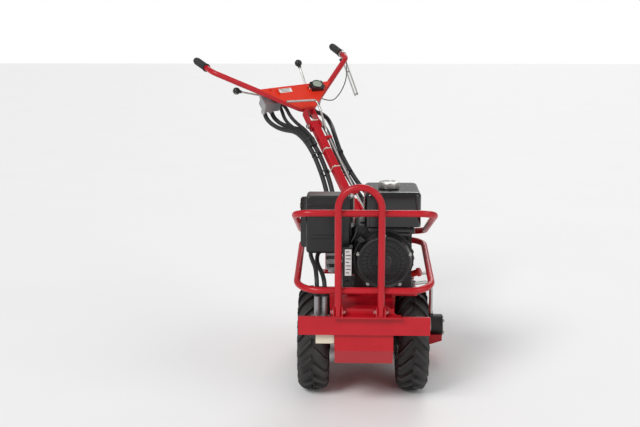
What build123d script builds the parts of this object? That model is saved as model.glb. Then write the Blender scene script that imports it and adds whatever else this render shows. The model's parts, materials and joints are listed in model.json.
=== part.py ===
"""Hydraulic walk-behind rear-tine tiller with a swinging handle column.

Working frame, in millimetres: X to the machine's left-hand wheel as seen from
the front, -Y to the front bumper, +Y to the operator, +Z up from the ground,
Y = 0 over the wheel axle. Every piece is moved at the end, as one rigid group,
so that the origin is under the middle of the whole machine.
"""
import math
import os

from build123d import *

os.makedirs("parts", exist_ok=True)

# ---- fits and seats ----
RUNNING = 0.05          # radial clearance of a shaft in its bore
SEAT = 0.2              # gap between two parts that rest on each other
WORKING_GAP = 1.0       # gap beside a part that turns

# ---- wheels ----
TYRE_RADIUS = 200.0
TYRE_WIDTH = 115.0
TYRE_WALL = 11.0
TRACK_HALF = 188.0
RIM_RADIUS = 101.5
RIM_WIDTH = 92.0
RIM_WALL = 3.5
RIM_FLANGE = 10.0
HUB_FLANGE_RADIUS = 48.0
HUB_BARREL_RADIUS = 27.0
WHEEL_SHAFT_RADIUS = 12.5
WHEEL_SHAFT_LENGTH = 62.0
WHEEL_MOTOR_RADIUS = 40.0
WHEEL_MOTOR_NOSE = 29.0
WHEEL_BOLT_CIRCLE = 35.0
WHEEL_BOLT_RADIUS = 5.0

# ---- chassis ----
CHASSIS_HALF = 104.0
PLATE = 6.0
CHASSIS_FRONT = -330.0
CHASSIS_REAR = 405.0
DECK_Z = 413.0
FOLD_Z = 258.0
SUMP_Z = 140.0
BUMPER_HALF = 232.0
BUMPER_LOW = 320.0
BUMPER_HIGH = 386.0
BUMPER_THICK = 12.0
ENGINE_PLATE_LEFT = -62.0
ENGINE_PLATE_RIGHT = 198.0

# ---- guard tubes ----
TUBE_RADIUS = 12.0
TUBE_WALL = 2.5
GUARD_FRONT = -328.0
GUARD_REAR = 182.0
GUARD_INNER_END = 150.0
GUARD_REAR_BEND = 60.0
UPPER_GUARD_HALF = 244.0
UPPER_GUARD_FRONT_Z = 754.0
UPPER_GUARD_REAR_Z = 584.0
UPPER_GUARD_BEND = 62.0
LOWER_GUARD_HALF = 240.0
LOWER_GUARD_FRONT_Z = 478.0
LOWER_GUARD_REAR_Z = 548.0
LOWER_GUARD_BEND = 90.0
HOOP_X = -17.0
HOOP_HALF = 75.0
HOOP_TOP = 848.0
HOOP_FOOT = 392.0

# ---- engine ----
CRANK_X = 71.0
CRANK_Z = 555.0
CRANK_RADIUS = 12.7
BLOCK_HALF = 105.0
BLOCK_FRONT = -120.0
BLOCK_REAR = 70.0
BLOCK_TOP = 668.0
SHROUD_RADIUS = 110.0
SHROUD_FRONT = -172.0
RECOIL_RADIUS = 104.0
RECOIL_FRONT = -230.0
COVER_WALL = 3.0
FLYWHEEL_RADIUS = 96.0
CYLINDER_LEAN = 15.0
TANK_LEFT = 2.0
TANK_RIGHT = 207.0
TANK_FRONT = -150.0
TANK_REAR = 95.0
TANK_TOP = 796.0
CAP_X = 92.0
CAP_Y = -55.0
CAP_RADIUS = 40.0
CAP_HEIGHT = 26.0
CLEANER_LEFT = -212.0
CLEANER_RIGHT = -49.0
CLEANER_FRONT = -150.0
CLEANER_BACK = -48.0
CLEANER_LOW = 568.0
CLEANER_HIGH = 784.0
CLEANER_KNOB_Y = -88.0
CLEANER_KNOB_Z = 735.0

# ---- tine unit ----
TINE_Y = 400.0
TINE_Z = 128.0
TINE_RADIUS = 118.0
TINE_SETS = (-212.0, -130.0, -44.0, 44.0, 130.0, 212.0)
TINE_SHAFT_RADIUS = 15.0
HOOD_RADIUS = 160.0
HOOD_HALF = 258.0
HOOD_PLATE = 4.0
TINE_MOTOR_RADIUS = 46.0
TINE_MOTOR_END = 345.0
FLAP_LENGTH = 130.0
STAKE_Y = 606.0
STAKE_WIDTH = 25.0
SHOE_LENGTH = 92.0
SHOE_WIDTH = 60.0

# ---- handle column ----
SWING_Y = 330.0
SWING_Z = 577.0
SWING_LEAN = 10.0       # the swing axis leans forward by this angle
SWING_REST = 28.0       # the column stands swung to the machine's -X side
KINGPIN_RADIUS = 12.5
SECTOR_RADIUS = 78.0
NECK_RUN = 450.0
NECK_RISE = 455.0
NECK_TUBE = 34.0
NECK_WALL = 3.0
TILT_SHARE = 0.85
TILT_BOLT_RADIUS = 6.0
BAR_RADIUS = 12.5
BAR_WALL = 2.2
BAR_START = 25.0
BAR_HALF = 338.0
BAR_RUN = 240.0
BAR_RISE = 192.0
GRIP_HALF = 352.0
GRIP_RUN = 176.0
GRIP_RISE = 52.0
GRIP_LENGTH = 122.0
GRIP_RADIUS = 18.0
PANEL_THICK = 3.0
PANEL_HALF = 172.0
KNOB_RADIUS = 16.0
HOSE_RADIUS = 10.0
DRIVE_HOSE_RADIUS = 8.0

swing_lean = math.radians(SWING_LEAN)
swing_axis = Axis((0, SWING_Y, SWING_Z), (0, -math.sin(swing_lean), math.cos(swing_lean)))
mast_plane = Plane(origin=(0, SWING_Y, SWING_Z), x_dir=(1, 0, 0), z_dir=swing_axis.direction)
neck_length = math.hypot(NECK_RUN, NECK_RISE)
tilt_length = TILT_SHARE * neck_length
neck_plane = Plane(origin=(0, SWING_Y, SWING_Z), x_dir=(1, 0, 0), z_dir=(0, NECK_RUN, NECK_RISE))
apex = (0, SWING_Y + NECK_RUN, SWING_Z + NECK_RISE)
handle_plane = Plane(origin=apex, x_dir=(1, 0, 0), z_dir=(0, -BAR_RISE, BAR_RUN))
bar_length = math.hypot(BAR_RUN, BAR_RISE)
grip_along = (GRIP_RUN * BAR_RUN + GRIP_RISE * BAR_RISE) / bar_length
grip_drop = (GRIP_RISE * BAR_RUN - GRIP_RUN * BAR_RISE) / bar_length

finished = {}


def keep(name, piece, swung=False):
    """Store one finished piece, turned with the handle column when it rides on it."""
    solid = piece.part
    if swung:
        solid = solid.rotate(swing_axis, SWING_REST)
    finished[name] = solid


def swung_point(plane, x, y, z):
    """A point given in a plane of the column, at the place where the swung column holds it."""
    arm = plane.from_local_coords((x, y, z)) - swing_axis.position
    turned = arm.rotate(Axis((0, 0, 0), swing_axis.direction), SWING_REST) + swing_axis.position
    return (turned.X, turned.Y, turned.Z)


def bent_tube(points, bends, outer, wall=0.0):
    """A round tube or hose along straight runs joined by tangent arcs."""
    with BuildPart() as tube:
        with BuildLine() as path:
            FilletPolyline(*points, radius=bends)
        with BuildSketch(Plane(origin=path.line @ 0, z_dir=path.line % 0)):
            Circle(outer)
            if wall:
                Circle(outer - wall, mode=Mode.SUBTRACT)
        sweep()
    return tube


def arc_radii(points):
    """Bend radii of a hose: as large as the two runs at each corner allow."""
    radii = []
    for before, corner, after in zip(points, points[1:], points[2:]):
        run_in = Vector(*corner) - Vector(*before)
        run_out = Vector(*after) - Vector(*corner)
        half_turn = math.radians(run_in.get_angle(run_out)) / 2
        radii.append(0.45 * min(run_in.length, run_out.length) / math.tan(half_turn))
    return radii


def hose(name, points, radius):
    """A hose along its points, with its radii and its volume check printed."""
    radii = arc_radii(points)
    tube = bent_tube(points, radii, radius)
    print(name, "radii", [round(value) for value in radii])
    return tube


# ======================= chassis =======================
hood_top = TINE_Z + HOOD_RADIUS
arm_underside = hood_top + SEAT
chassis_side = [
    (CHASSIS_FRONT, FOLD_Z),
    (CHASSIS_FRONT + 50, 195),
    (-70, SUMP_Z),
    (70, SUMP_Z),
    (215, 170),
    (215, arm_underside),
    (CHASSIS_REAR, arm_underside),
    (CHASSIS_REAR, DECK_Z),
    (CHASSIS_FRONT, DECK_Z),
]

with BuildPart() as chassis:
    for side in (-CHASSIS_HALF, CHASSIS_HALF - PLATE):
        with BuildSketch(Plane.YZ.offset(side)):
            Polygon(*chassis_side, align=None)
            with Locations((0, TYRE_RADIUS)):
                Circle(WHEEL_MOTOR_NOSE + 1, mode=Mode.SUBTRACT)
        extrude(amount=PLATE)
    with BuildSketch(Plane.YZ.offset(-CHASSIS_HALF + PLATE)):
        Polygon(*chassis_side, align=None)
        offset(amount=-PLATE, kind=Kind.INTERSECTION, mode=Mode.SUBTRACT)
    extrude(amount=2 * (CHASSIS_HALF - PLATE))
keep("chassis_frame", chassis)

# Bumper: a channel bar across the front plate, open to the rear.
bumper_back = CHASSIS_FRONT - SEAT
bumper_front = bumper_back - BUMPER_THICK
with BuildPart() as bumper:
    with BuildSketch(Plane.XZ.offset(-bumper_back)):
        with Locations((0, (BUMPER_LOW + BUMPER_HIGH) / 2)):
            Rectangle(2 * BUMPER_HALF, BUMPER_HIGH - BUMPER_LOW)
    extrude(amount=BUMPER_THICK)
    fillet(bumper.edges().filter_by(Axis.Y), 4)
keep("front_bar", bumper)

with BuildPart() as engine_plate:
    with BuildSketch(Plane.XY.offset(DECK_Z + SEAT)):
        with Locations(((ENGINE_PLATE_LEFT + ENGINE_PLATE_RIGHT) / 2, (BLOCK_FRONT + BLOCK_REAR) / 2 + 5)):
            RectangleRounded(ENGINE_PLATE_RIGHT - ENGINE_PLATE_LEFT, BLOCK_REAR - BLOCK_FRONT + 90, 10)
    extrude(amount=PLATE)
keep("engine_plate", engine_plate)
engine_bed = DECK_Z + SEAT + PLATE

# ======================= guards and hoop =======================
def guard_ring(half, front_z, rear_z, bend):
    """A guard tube: across the front, back along both sides, and turned in at the rear."""
    points = [
        (-GUARD_INNER_END, GUARD_REAR, rear_z),
        (-half, GUARD_REAR, rear_z),
        (-half, GUARD_FRONT, front_z),
        (half, GUARD_FRONT, front_z),
        (half, GUARD_REAR, rear_z),
        (GUARD_INNER_END, GUARD_REAR, rear_z),
    ]
    return bent_tube(points, [GUARD_REAR_BEND, bend, bend, GUARD_REAR_BEND], TUBE_RADIUS, TUBE_WALL)


keep("upper_guard", guard_ring(UPPER_GUARD_HALF, UPPER_GUARD_FRONT_Z, UPPER_GUARD_REAR_Z, UPPER_GUARD_BEND))

# The lower guard is welded to two posts on the deck; the upper guard ends butt against them.
post_top = UPPER_GUARD_REAR_Z + 2 * TUBE_RADIUS
post_x = GUARD_INNER_END - TUBE_RADIUS - SEAT
lower_ring = guard_ring(LOWER_GUARD_HALF, LOWER_GUARD_FRONT_Z, LOWER_GUARD_REAR_Z, LOWER_GUARD_BEND)
with BuildPart() as lower_guard:
    add(lower_ring)
    for sign in (-1, 1):
        with BuildSketch(Plane.XY.offset(DECK_Z + SEAT)):
            with Locations((sign * (CHASSIS_HALF + post_x + 10) / 2, GUARD_REAR)):
                Rectangle(post_x + 50 - CHASSIS_HALF, 50)
        extrude(amount=PLATE)
        with BuildSketch(Plane.XY.offset(DECK_Z + SEAT + PLATE)):
            with Locations((sign * post_x, GUARD_REAR)):
                Circle(TUBE_RADIUS)
        extrude(amount=post_top - DECK_Z - PLATE)
        with BuildSketch(Plane.YZ.offset(sign * post_x)):
            with Locations((GUARD_REAR, LOWER_GUARD_REAR_Z)):
                Circle(TUBE_RADIUS)
        extrude(amount=sign * (GUARD_INNER_END - post_x + 1))
keep("lower_guard", lower_guard)

# Hoop: an inverted U standing in front of both guard tubes.
hoop_y = GUARD_FRONT - 2 * TUBE_RADIUS - 0.3
hoop_left = HOOP_X - HOOP_HALF
hoop_right = HOOP_X + HOOP_HALF
hoop_points = [
    (hoop_left, hoop_y, HOOP_FOOT),
    (hoop_left, hoop_y, HOOP_TOP),
    (hoop_right, hoop_y, HOOP_TOP),
    (hoop_right, hoop_y, HOOP_FOOT),
]
hoop_bolt_z = HOOP_FOOT + 16
with BuildPart() as hoop:
    with BuildLine() as hoop_path:
        FilletPolyline(*hoop_points, radius=HOOP_HALF - 1.0)
    with BuildSketch(Plane(origin=hoop_path.line @ 0, z_dir=hoop_path.line % 0)):
        Circle(TUBE_RADIUS)
        Circle(TUBE_RADIUS - TUBE_WALL, mode=Mode.SUBTRACT)
    sweep()
    with BuildSketch(Plane.YZ.offset(hoop_left - 2 * TUBE_RADIUS)):
        with Locations((hoop_y, hoop_bolt_z)):
            Circle(5.1)
    extrude(amount=2 * HOOP_HALF + 4 * TUBE_RADIUS, mode=Mode.SUBTRACT)
keep("front_hoop", hoop)

# Hoop bracket: a shelf on the bumper with one ear beside each foot and a gusset.
ear = 5.0
ear_gap = TUBE_RADIUS + SEAT
shelf_z = BUMPER_HIGH + SEAT
with BuildPart() as hoop_bracket:
    with BuildSketch(Plane.XY.offset(shelf_z)):
        with Locations((HOOP_X, (hoop_y - TUBE_RADIUS + CHASSIS_FRONT) / 2)):
            Rectangle(2 * (HOOP_HALF + ear_gap + ear), CHASSIS_FRONT - hoop_y + TUBE_RADIUS - SEAT)
    extrude(amount=HOOP_FOOT - SEAT - shelf_z)
    for foot, out in ((hoop_left, -1), (hoop_right, 1)):
        for side in (-1, 1):
            start = foot + side * ear_gap + (0 if side > 0 else -ear)
            with BuildSketch(Plane.YZ.offset(start)):
                with Locations((hoop_y, shelf_z + 20)):
                    RectangleRounded(2 * TUBE_RADIUS, 40, 8)
                with Locations((hoop_y, hoop_bolt_z)):
                    Circle(5.1, mode=Mode.SUBTRACT)
            extrude(amount=ear)
    gusset_x = hoop_right + ear_gap + ear
    gusset = [(gusset_x, shelf_z), (hoop_right + 62, shelf_z), (gusset_x, shelf_z + 42)]
    with BuildSketch(Plane.XZ.offset(-(CHASSIS_FRONT - SEAT))):
        Polygon(*gusset, align=None)
    extrude(amount=PLATE)
    with BuildSketch(Plane.XY.offset(shelf_z)):
        with Locations((hoop_right + 40, (hoop_y - TUBE_RADIUS + CHASSIS_FRONT) / 2)):
            Rectangle(62, CHASSIS_FRONT - hoop_y + TUBE_RADIUS - SEAT)
    extrude(amount=HOOP_FOOT - SEAT - shelf_z)
    for foot in (hoop_left, hoop_right):
        reach = ear_gap + ear
        with BuildSketch(Plane.YZ.offset(foot - reach - 7)):
            with Locations((hoop_y, hoop_bolt_z)):
                Circle(5)
        extrude(amount=2 * reach + 14)
        for start in (foot - reach - 6, foot + reach):
            with BuildSketch(Plane.YZ.offset(start)):
                with Locations((hoop_y, hoop_bolt_z)):
                    RegularPolygon(8.5, 6)
            extrude(amount=6)
keep("hoop_bracket", hoop_bracket)

# ======================= wheels and wheel motors =======================
rim_disc = TRACK_HALF - 8.0
hub_flange = 10.0
hub_barrel_end = CHASSIS_HALF + WORKING_GAP + 4.0
motor_face = CHASSIS_HALF - PLATE - SEAT
with BuildPart() as wheel_motors:
    for sign in (-1, 1):
        wheel_motor_plane = Plane(origin=(0, 0, TYRE_RADIUS), x_dir=(0, 1, 0), z_dir=(sign, 0, 0))
        with BuildSketch(wheel_motor_plane.offset(22)):
            Circle(WHEEL_MOTOR_RADIUS)
        extrude(amount=motor_face - 22)
        with BuildSketch(wheel_motor_plane.offset(motor_face)):
            Circle(WHEEL_MOTOR_NOSE)
        extrude(amount=PLATE + 4)
        with BuildSketch(wheel_motor_plane.offset(hub_barrel_end - WHEEL_SHAFT_LENGTH - 4)):
            Circle(WHEEL_SHAFT_RADIUS + RUNNING)
        extrude(amount=WHEEL_SHAFT_LENGTH + 20, mode=Mode.SUBTRACT)
keep("wheel_motors", wheel_motors)

for label, sign in (("left", -1), ("right", 1)):
    axle_plane = Plane(origin=(0, 0, TYRE_RADIUS), x_dir=(0, 1, 0), z_dir=(sign, 0, 0))

    with BuildPart() as hub:
        with BuildSketch(axle_plane.offset(rim_disc - SEAT - hub_flange)):
            Circle(HUB_FLANGE_RADIUS)
        extrude(amount=hub_flange)
        with BuildSketch(axle_plane.offset(hub_barrel_end)):
            Circle(HUB_BARREL_RADIUS)
        extrude(amount=rim_disc - SEAT - hub_flange - hub_barrel_end)
        with BuildSketch(axle_plane.offset(hub_barrel_end - WHEEL_SHAFT_LENGTH)):
            Circle(WHEEL_SHAFT_RADIUS)
        extrude(amount=WHEEL_SHAFT_LENGTH)
        with BuildSketch(axle_plane.offset(rim_disc - SEAT)):
            with PolarLocations(WHEEL_BOLT_CIRCLE, 4):
                Circle(WHEEL_BOLT_RADIUS)
        extrude(amount=20)
    keep("hub_" + label, hub)

    with BuildPart() as rim:
        with BuildSketch(axle_plane.offset(rim_disc)):
            Circle(RIM_RADIUS - RIM_WALL / 2)
            with PolarLocations(WHEEL_BOLT_CIRCLE, 4):
                Circle(WHEEL_BOLT_RADIUS + 0.2, mode=Mode.SUBTRACT)
            Circle(18, mode=Mode.SUBTRACT)
        extrude(amount=6)
        with BuildSketch(axle_plane.offset(TRACK_HALF - RIM_WIDTH / 2)):
            Circle(RIM_RADIUS)
            Circle(RIM_RADIUS - RIM_WALL, mode=Mode.SUBTRACT)
        extrude(amount=RIM_WIDTH)
        for start in (TRACK_HALF - RIM_WIDTH / 2 - RIM_WALL, TRACK_HALF + RIM_WIDTH / 2):
            with BuildSketch(axle_plane.offset(start)):
                Circle(RIM_RADIUS + RIM_FLANGE)
                Circle(RIM_RADIUS - RIM_WALL, mode=Mode.SUBTRACT)
            extrude(amount=RIM_WALL)
    keep("rim_" + label, rim)

    bead = RIM_RADIUS + 0.1
    half_bead = RIM_WIDTH / 2 - SEAT
    flange_top = RIM_RADIUS + RIM_FLANGE + 1.0
    shoulder = TYRE_RADIUS - 26
    half_tread = TYRE_WIDTH / 2 - 10
    tyre_profile = [
        (bead, -half_bead),
        (flange_top, -half_bead),
        (flange_top + 6, -TYRE_WIDTH / 2 + 4),
        (shoulder - 18, -TYRE_WIDTH / 2),
        (shoulder + 12, -TYRE_WIDTH / 2 + 2),
        (TYRE_RADIUS, -half_tread + 8),
        (TYRE_RADIUS, half_tread - 8),
        (shoulder + 12, TYRE_WIDTH / 2 - 2),
        (shoulder - 18, TYRE_WIDTH / 2),
        (flange_top + 6, TYRE_WIDTH / 2 - 4),
        (flange_top, half_bead),
        (bead, half_bead),
        (bead, half_bead - TYRE_WALL),
        (bead + 20, half_bead - TYRE_WALL + 4),
        (TYRE_RADIUS - 28, half_bead - TYRE_WALL + 2),
        (TYRE_RADIUS - 28, -half_bead + TYRE_WALL - 2),
        (bead + 20, -half_bead + TYRE_WALL - 4),
        (bead, -half_bead + TYRE_WALL),
    ]
    tyre_plane = Plane(origin=(sign * TRACK_HALF, 0, TYRE_RADIUS), x_dir=(0, 0, 1), z_dir=(0, -1, 0))
    with BuildPart() as tyre:
        with BuildSketch(tyre_plane):
            Polygon(*tyre_profile, align=None)
        revolve(axis=Axis((0, 0, TYRE_RADIUS), (1, 0, 0)))
    keep("tyre_" + label, tyre)

# ======================= engine =======================
cylinder_y = 14.0
cylinder_width = 100.0
cylinder_front = cylinder_y - cylinder_width / 2
with BuildPart() as block:
    with BuildSketch(Plane.XZ.offset(-BLOCK_REAR)):
        with Locations((CRANK_X, (engine_bed + SEAT + BLOCK_TOP) / 2)):
            RectangleRounded(2 * BLOCK_HALF, BLOCK_TOP - engine_bed - SEAT, 22)
    extrude(amount=BLOCK_REAR - BLOCK_FRONT)
    lean_plane = Plane(
        origin=(CRANK_X, cylinder_y, CRANK_Z),
        x_dir=(0, 1, 0),
        z_dir=(-math.cos(math.radians(CYLINDER_LEAN)), 0, math.sin(math.radians(CYLINDER_LEAN))),
    )
    with BuildSketch(lean_plane.offset(60)):
        RectangleRounded(cylinder_width, 112, 12)
    extrude(amount=162)
    with BuildSketch(lean_plane.offset(222)):
        RectangleRounded(88, 100, 18)
    extrude(amount=26)
    with BuildSketch(Plane.XY.offset(engine_bed + SEAT)):
        with Locations((CRANK_X, (BLOCK_FRONT + BLOCK_REAR) / 2)):
            RectangleRounded(2 * BLOCK_HALF + 24, 150, 8)
    extrude(amount=14)
    with BuildSketch(Plane.XZ.offset(-BLOCK_REAR - 10)):
        with Locations((CRANK_X, CRANK_Z)):
            Circle(CRANK_RADIUS + RUNNING)
    extrude(amount=BLOCK_REAR - BLOCK_FRONT + 20, mode=Mode.SUBTRACT)
keep("engine_block", block)

crank_front = Plane(origin=(CRANK_X, 0, CRANK_Z), x_dir=(1, 0, 0), z_dir=(0, -1, 0))
shroud_back = -BLOCK_FRONT + SEAT
shroud_depth = -SHROUD_FRONT - shroud_back
with BuildPart() as shroud:
    with BuildSketch(crank_front.offset(shroud_back)):
        Circle(SHROUD_RADIUS)
    extrude(amount=shroud_depth)
    with BuildSketch(crank_front.offset(shroud_back + COVER_WALL)):
        Circle(SHROUD_RADIUS - COVER_WALL)
    extrude(amount=shroud_depth, mode=Mode.SUBTRACT)
    with BuildSketch(crank_front.offset(shroud_back)):
        Circle(CRANK_RADIUS + 2)
    extrude(amount=COVER_WALL, mode=Mode.SUBTRACT)
keep("blower_housing", shroud)

recoil_back = -SHROUD_FRONT + SEAT
recoil_depth = -RECOIL_FRONT - recoil_back
recoil_exit = 135.0
exit_x = CRANK_X + (RECOIL_RADIUS - 14) * math.cos(math.radians(recoil_exit))
exit_z = CRANK_Z + (RECOIL_RADIUS - 14) * math.sin(math.radians(recoil_exit))
with BuildPart() as recoil:
    with BuildSketch(crank_front.offset(recoil_back)):
        Circle(RECOIL_RADIUS + 4)
    extrude(amount=COVER_WALL)
    with BuildSketch(crank_front.offset(recoil_back)):
        Circle(RECOIL_RADIUS)
    extrude(amount=recoil_depth, taper=8)
    with BuildSketch(crank_front.offset(recoil_back)):
        Circle(RECOIL_RADIUS - COVER_WALL - 2)
    extrude(amount=recoil_depth - COVER_WALL, taper=8, mode=Mode.SUBTRACT)
keep("recoil_cover", recoil)

with BuildPart() as crankshaft:
    with BuildSketch(crank_front.offset(-BLOCK_REAR - 40)):
        Circle(CRANK_RADIUS)
    extrude(amount=BLOCK_REAR + 40 - SHROUD_FRONT - 4)
    with BuildSketch(crank_front.offset(shroud_back + COVER_WALL + 4)):
        Circle(FLYWHEEL_RADIUS)
    extrude(amount=22)
keep("crankshaft", crankshaft)

# Pump adapter and pump at the rear of the engine.
adapter_back = BLOCK_REAR + SEAT
pump_start = adapter_back + 76
with BuildPart() as pump:
    with BuildSketch(crank_front.offset(-pump_start)):
        Circle(66)
        Circle(58, mode=Mode.SUBTRACT)
    extrude(amount=76)
    with BuildSketch(crank_front.offset(-pump_start)):
        Circle(66)
        Circle(CRANK_RADIUS + 4, mode=Mode.SUBTRACT)
    extrude(amount=8)
    with BuildSketch(crank_front.offset(-pump_start - 20)):
        RectangleRounded(92, 92, 14)
    extrude(amount=20)
    with BuildSketch(crank_front.offset(-pump_start - 92)):
        RectangleRounded(76, 84, 16)
    extrude(amount=72)
keep("pump", pump)

# Control panel: an upright box beside the recoil cover, bracketed to the block's side.
control_front = -202.0
control_back = CLEANER_FRONT - 3.0
control_left = -78.0
control_right = -42.0
control_low = 447.0
control_high = 604.0
block_left = CRANK_X - BLOCK_HALF
switch_x = -60.0
switch_z = 470.0
control_pin = 3.0
with BuildPart() as control_panel:
    with BuildSketch(Plane.XY.offset(control_low)):
        with Locations(((control_left + control_right) / 2, (control_front + control_back) / 2)):
            RectangleRounded(control_right - control_left, control_back - control_front, 4)
    extrude(amount=control_high - control_low)
    with BuildSketch(Plane.XY.offset(484)):
        with BuildLine():
            Polyline(
                (-58, control_back - 2),
                (-44, control_back - 2),
                (-44, BLOCK_FRONT),
                (block_left - SEAT, BLOCK_FRONT + 2),
                (block_left - SEAT, BLOCK_FRONT + 24),
                (-58, BLOCK_FRONT + 24),
                close=True,
            )
        make_face()
    extrude(amount=66)
    with BuildSketch(Plane.XZ.offset(-control_front)):
        with Locations((switch_x, switch_z)):
            Circle(control_pin)
    extrude(amount=9)
keep("control_panel", control_panel)

# Engine switch: a turning knob with a raised bar, on the panel's pin.
with BuildPart() as engine_switch:
    with BuildSketch(Plane.XZ.offset(-control_front + SEAT)):
        with Locations((switch_x, switch_z)):
            Circle(11)
    extrude(amount=7)
    with BuildSketch(Plane.XZ.offset(-control_front + SEAT + 7)):
        with Locations((switch_x, switch_z)):
            RectangleRounded(7, 20, 3)
    extrude(amount=7)
    with BuildSketch(Plane.XZ.offset(-control_front)):
        with Locations((switch_x, switch_z)):
            Circle(control_pin + RUNNING)
    extrude(amount=9 + SEAT, mode=Mode.SUBTRACT)
keep("engine_switch", engine_switch)

with BuildPart() as tank:
    with BuildSketch(Plane.XY.offset(BLOCK_TOP + SEAT)):
        with Locations(((TANK_LEFT + TANK_RIGHT) / 2, (TANK_FRONT + TANK_REAR) / 2)):
            RectangleRounded(TANK_RIGHT - TANK_LEFT, TANK_REAR - TANK_FRONT, 24)
    extrude(amount=TANK_TOP - BLOCK_TOP - SEAT)
    fillet(tank.edges().group_by(Axis.Z)[-1], 18)
    with BuildSketch(Plane.XY.offset(TANK_TOP - 2)):
        with Locations((CAP_X, CAP_Y)):
            Circle(CAP_RADIUS - 10)
    extrude(amount=14)
keep("fuel_tank", tank)

cap_low = TANK_TOP + 1.0
with BuildPart() as cap:
    with BuildSketch(Plane.XY.offset(cap_low)):
        with Locations((CAP_X, CAP_Y)):
            Circle(CAP_RADIUS)
    extrude(amount=CAP_HEIGHT)
    fillet(cap.edges().group_by(Axis.Z)[-1], 4)
    with BuildSketch(Plane.XY.offset(cap_low)):
        with Locations((CAP_X, CAP_Y)):
            Circle(CAP_RADIUS - 10 + 0.3)
    extrude(amount=12, mode=Mode.SUBTRACT)
keep("fuel_cap", cap)

cleaner_x = (CLEANER_LEFT + CLEANER_RIGHT) / 2
cleaner_w = CLEANER_RIGHT - CLEANER_LEFT
cleaner_z = (CLEANER_LOW + CLEANER_HIGH) / 2
cleaner_h = CLEANER_HIGH - CLEANER_LOW
base_depth = 14.0
with BuildPart() as cleaner:
    with BuildSketch(Plane.XZ.offset(-CLEANER_BACK)):
        with Locations((cleaner_x, cleaner_z)):
            RectangleRounded(cleaner_w - 6, cleaner_h - 6, 10)
    extrude(amount=base_depth)
    with BuildSketch(Plane.XZ.offset(-CLEANER_BACK + base_depth)):
        with Locations((cleaner_x, cleaner_z)):
            RectangleRounded(cleaner_w, cleaner_h, 14)
    extrude(amount=CLEANER_BACK - CLEANER_FRONT - base_depth)
    fillet(cleaner.faces().sort_by(Axis.Y)[0].edges(), 9)
    with BuildSketch(Plane.YZ.offset(CLEANER_LEFT - 20)):
        with Locations((CLEANER_KNOB_Y, CLEANER_KNOB_Z)):
            Circle(4)
    extrude(amount=22)
    with BuildSketch(Plane.XZ.offset(-cylinder_front + SEAT)):
        with Locations((cleaner_x + 12, CLEANER_LOW + 60)):
            Circle(24)
    extrude(amount=cylinder_front - SEAT - CLEANER_BACK + 1)
keep("air_cleaner", cleaner)

with BuildPart() as cleaner_knob:
    with BuildSketch(Plane.YZ.offset(CLEANER_LEFT - SEAT - 24)):
        with Locations((CLEANER_KNOB_Y, CLEANER_KNOB_Z)):
            RegularPolygon(14, 8)
    extrude(amount=24)
    with BuildSketch(Plane.YZ.offset(CLEANER_LEFT - SEAT - 20)):
        with Locations((CLEANER_KNOB_Y, CLEANER_KNOB_Z)):
            Circle(4 + RUNNING)
    extrude(amount=24, mode=Mode.SUBTRACT)
keep("air_cleaner_knob", cleaner_knob)

# Carburettor under the air cleaner, with the pins of the choke and throttle levers on its face.
carb_x = -112.0
carb_front = -142.0
carb_back = -54.0
carb_low = 506.0
carb_high = CLEANER_LOW - SEAT
lever_places = {"choke_lever": (carb_x + 14, 553.0, -1), "throttle_lever": (carb_x - 18, 522.0, 1)}
with BuildPart() as carburettor:
    with BuildSketch(Plane.XY.offset(carb_low)):
        with Locations((carb_x, (carb_front + carb_back) / 2)):
            RectangleRounded(56, carb_back - carb_front, 6)
    extrude(amount=carb_high - carb_low)
    with BuildSketch(Plane.XY.offset(carb_low - 20)):
        with Locations((carb_x, -92)):
            Circle(20)
    extrude(amount=20)
    with BuildSketch(Plane.XZ.offset(-carb_front)):
        with Locations(*[(pin_x, pin_z) for pin_x, pin_z, _ in lever_places.values()]):
            Circle(control_pin)
    extrude(amount=8)
keep("carburettor", carburettor)

lever_reach = 36.0
for label, (pin_x, pin_z, side) in lever_places.items():
    with BuildPart() as small_lever:
        with BuildSketch(Plane.XZ.offset(-carb_front + SEAT)):
            with Locations((pin_x + side * lever_reach / 2, pin_z)):
                SlotCenterToCenter(lever_reach, 12)
            with Locations((pin_x, pin_z)):
                Circle(control_pin + RUNNING, mode=Mode.SUBTRACT)
        extrude(amount=4)
        with BuildSketch(Plane.XZ.offset(-carb_front + SEAT + 4)):
            with Locations((pin_x + side * lever_reach, pin_z)):
                Circle(5)
        extrude(amount=14)
    keep(label, small_lever)

with BuildPart() as muffler:
    with BuildSketch(Plane.XY.offset(628)):
        with Locations((-110, 120)):
            RectangleRounded(150, 96, 20)
    extrude(amount=112)
    fillet(muffler.edges().group_by(Axis.Z)[-1], 12)
    with BuildSketch(Plane.XY.offset(600)):
        with Locations((-60, 84)):
            Rectangle(64, 27.6)
    extrude(amount=30)
keep("muffler", muffler)

# Recoil handle: a T grip seated on the edge of the recoil cover.
rope_plane = Plane(
    origin=(exit_x, SHROUD_FRONT - 30, exit_z),
    x_dir=(0, 1, 0),
    z_dir=(exit_x - CRANK_X, 0, exit_z - CRANK_Z),
)
with BuildPart() as recoil_handle:
    with BuildSketch(rope_plane.offset(22)):
        RectangleRounded(74, 20, 9)
    extrude(amount=18)
    with BuildSketch(rope_plane.offset(11.5)):
        Circle(8)
    extrude(amount=11)
keep("recoil_handle", recoil_handle)

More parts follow.
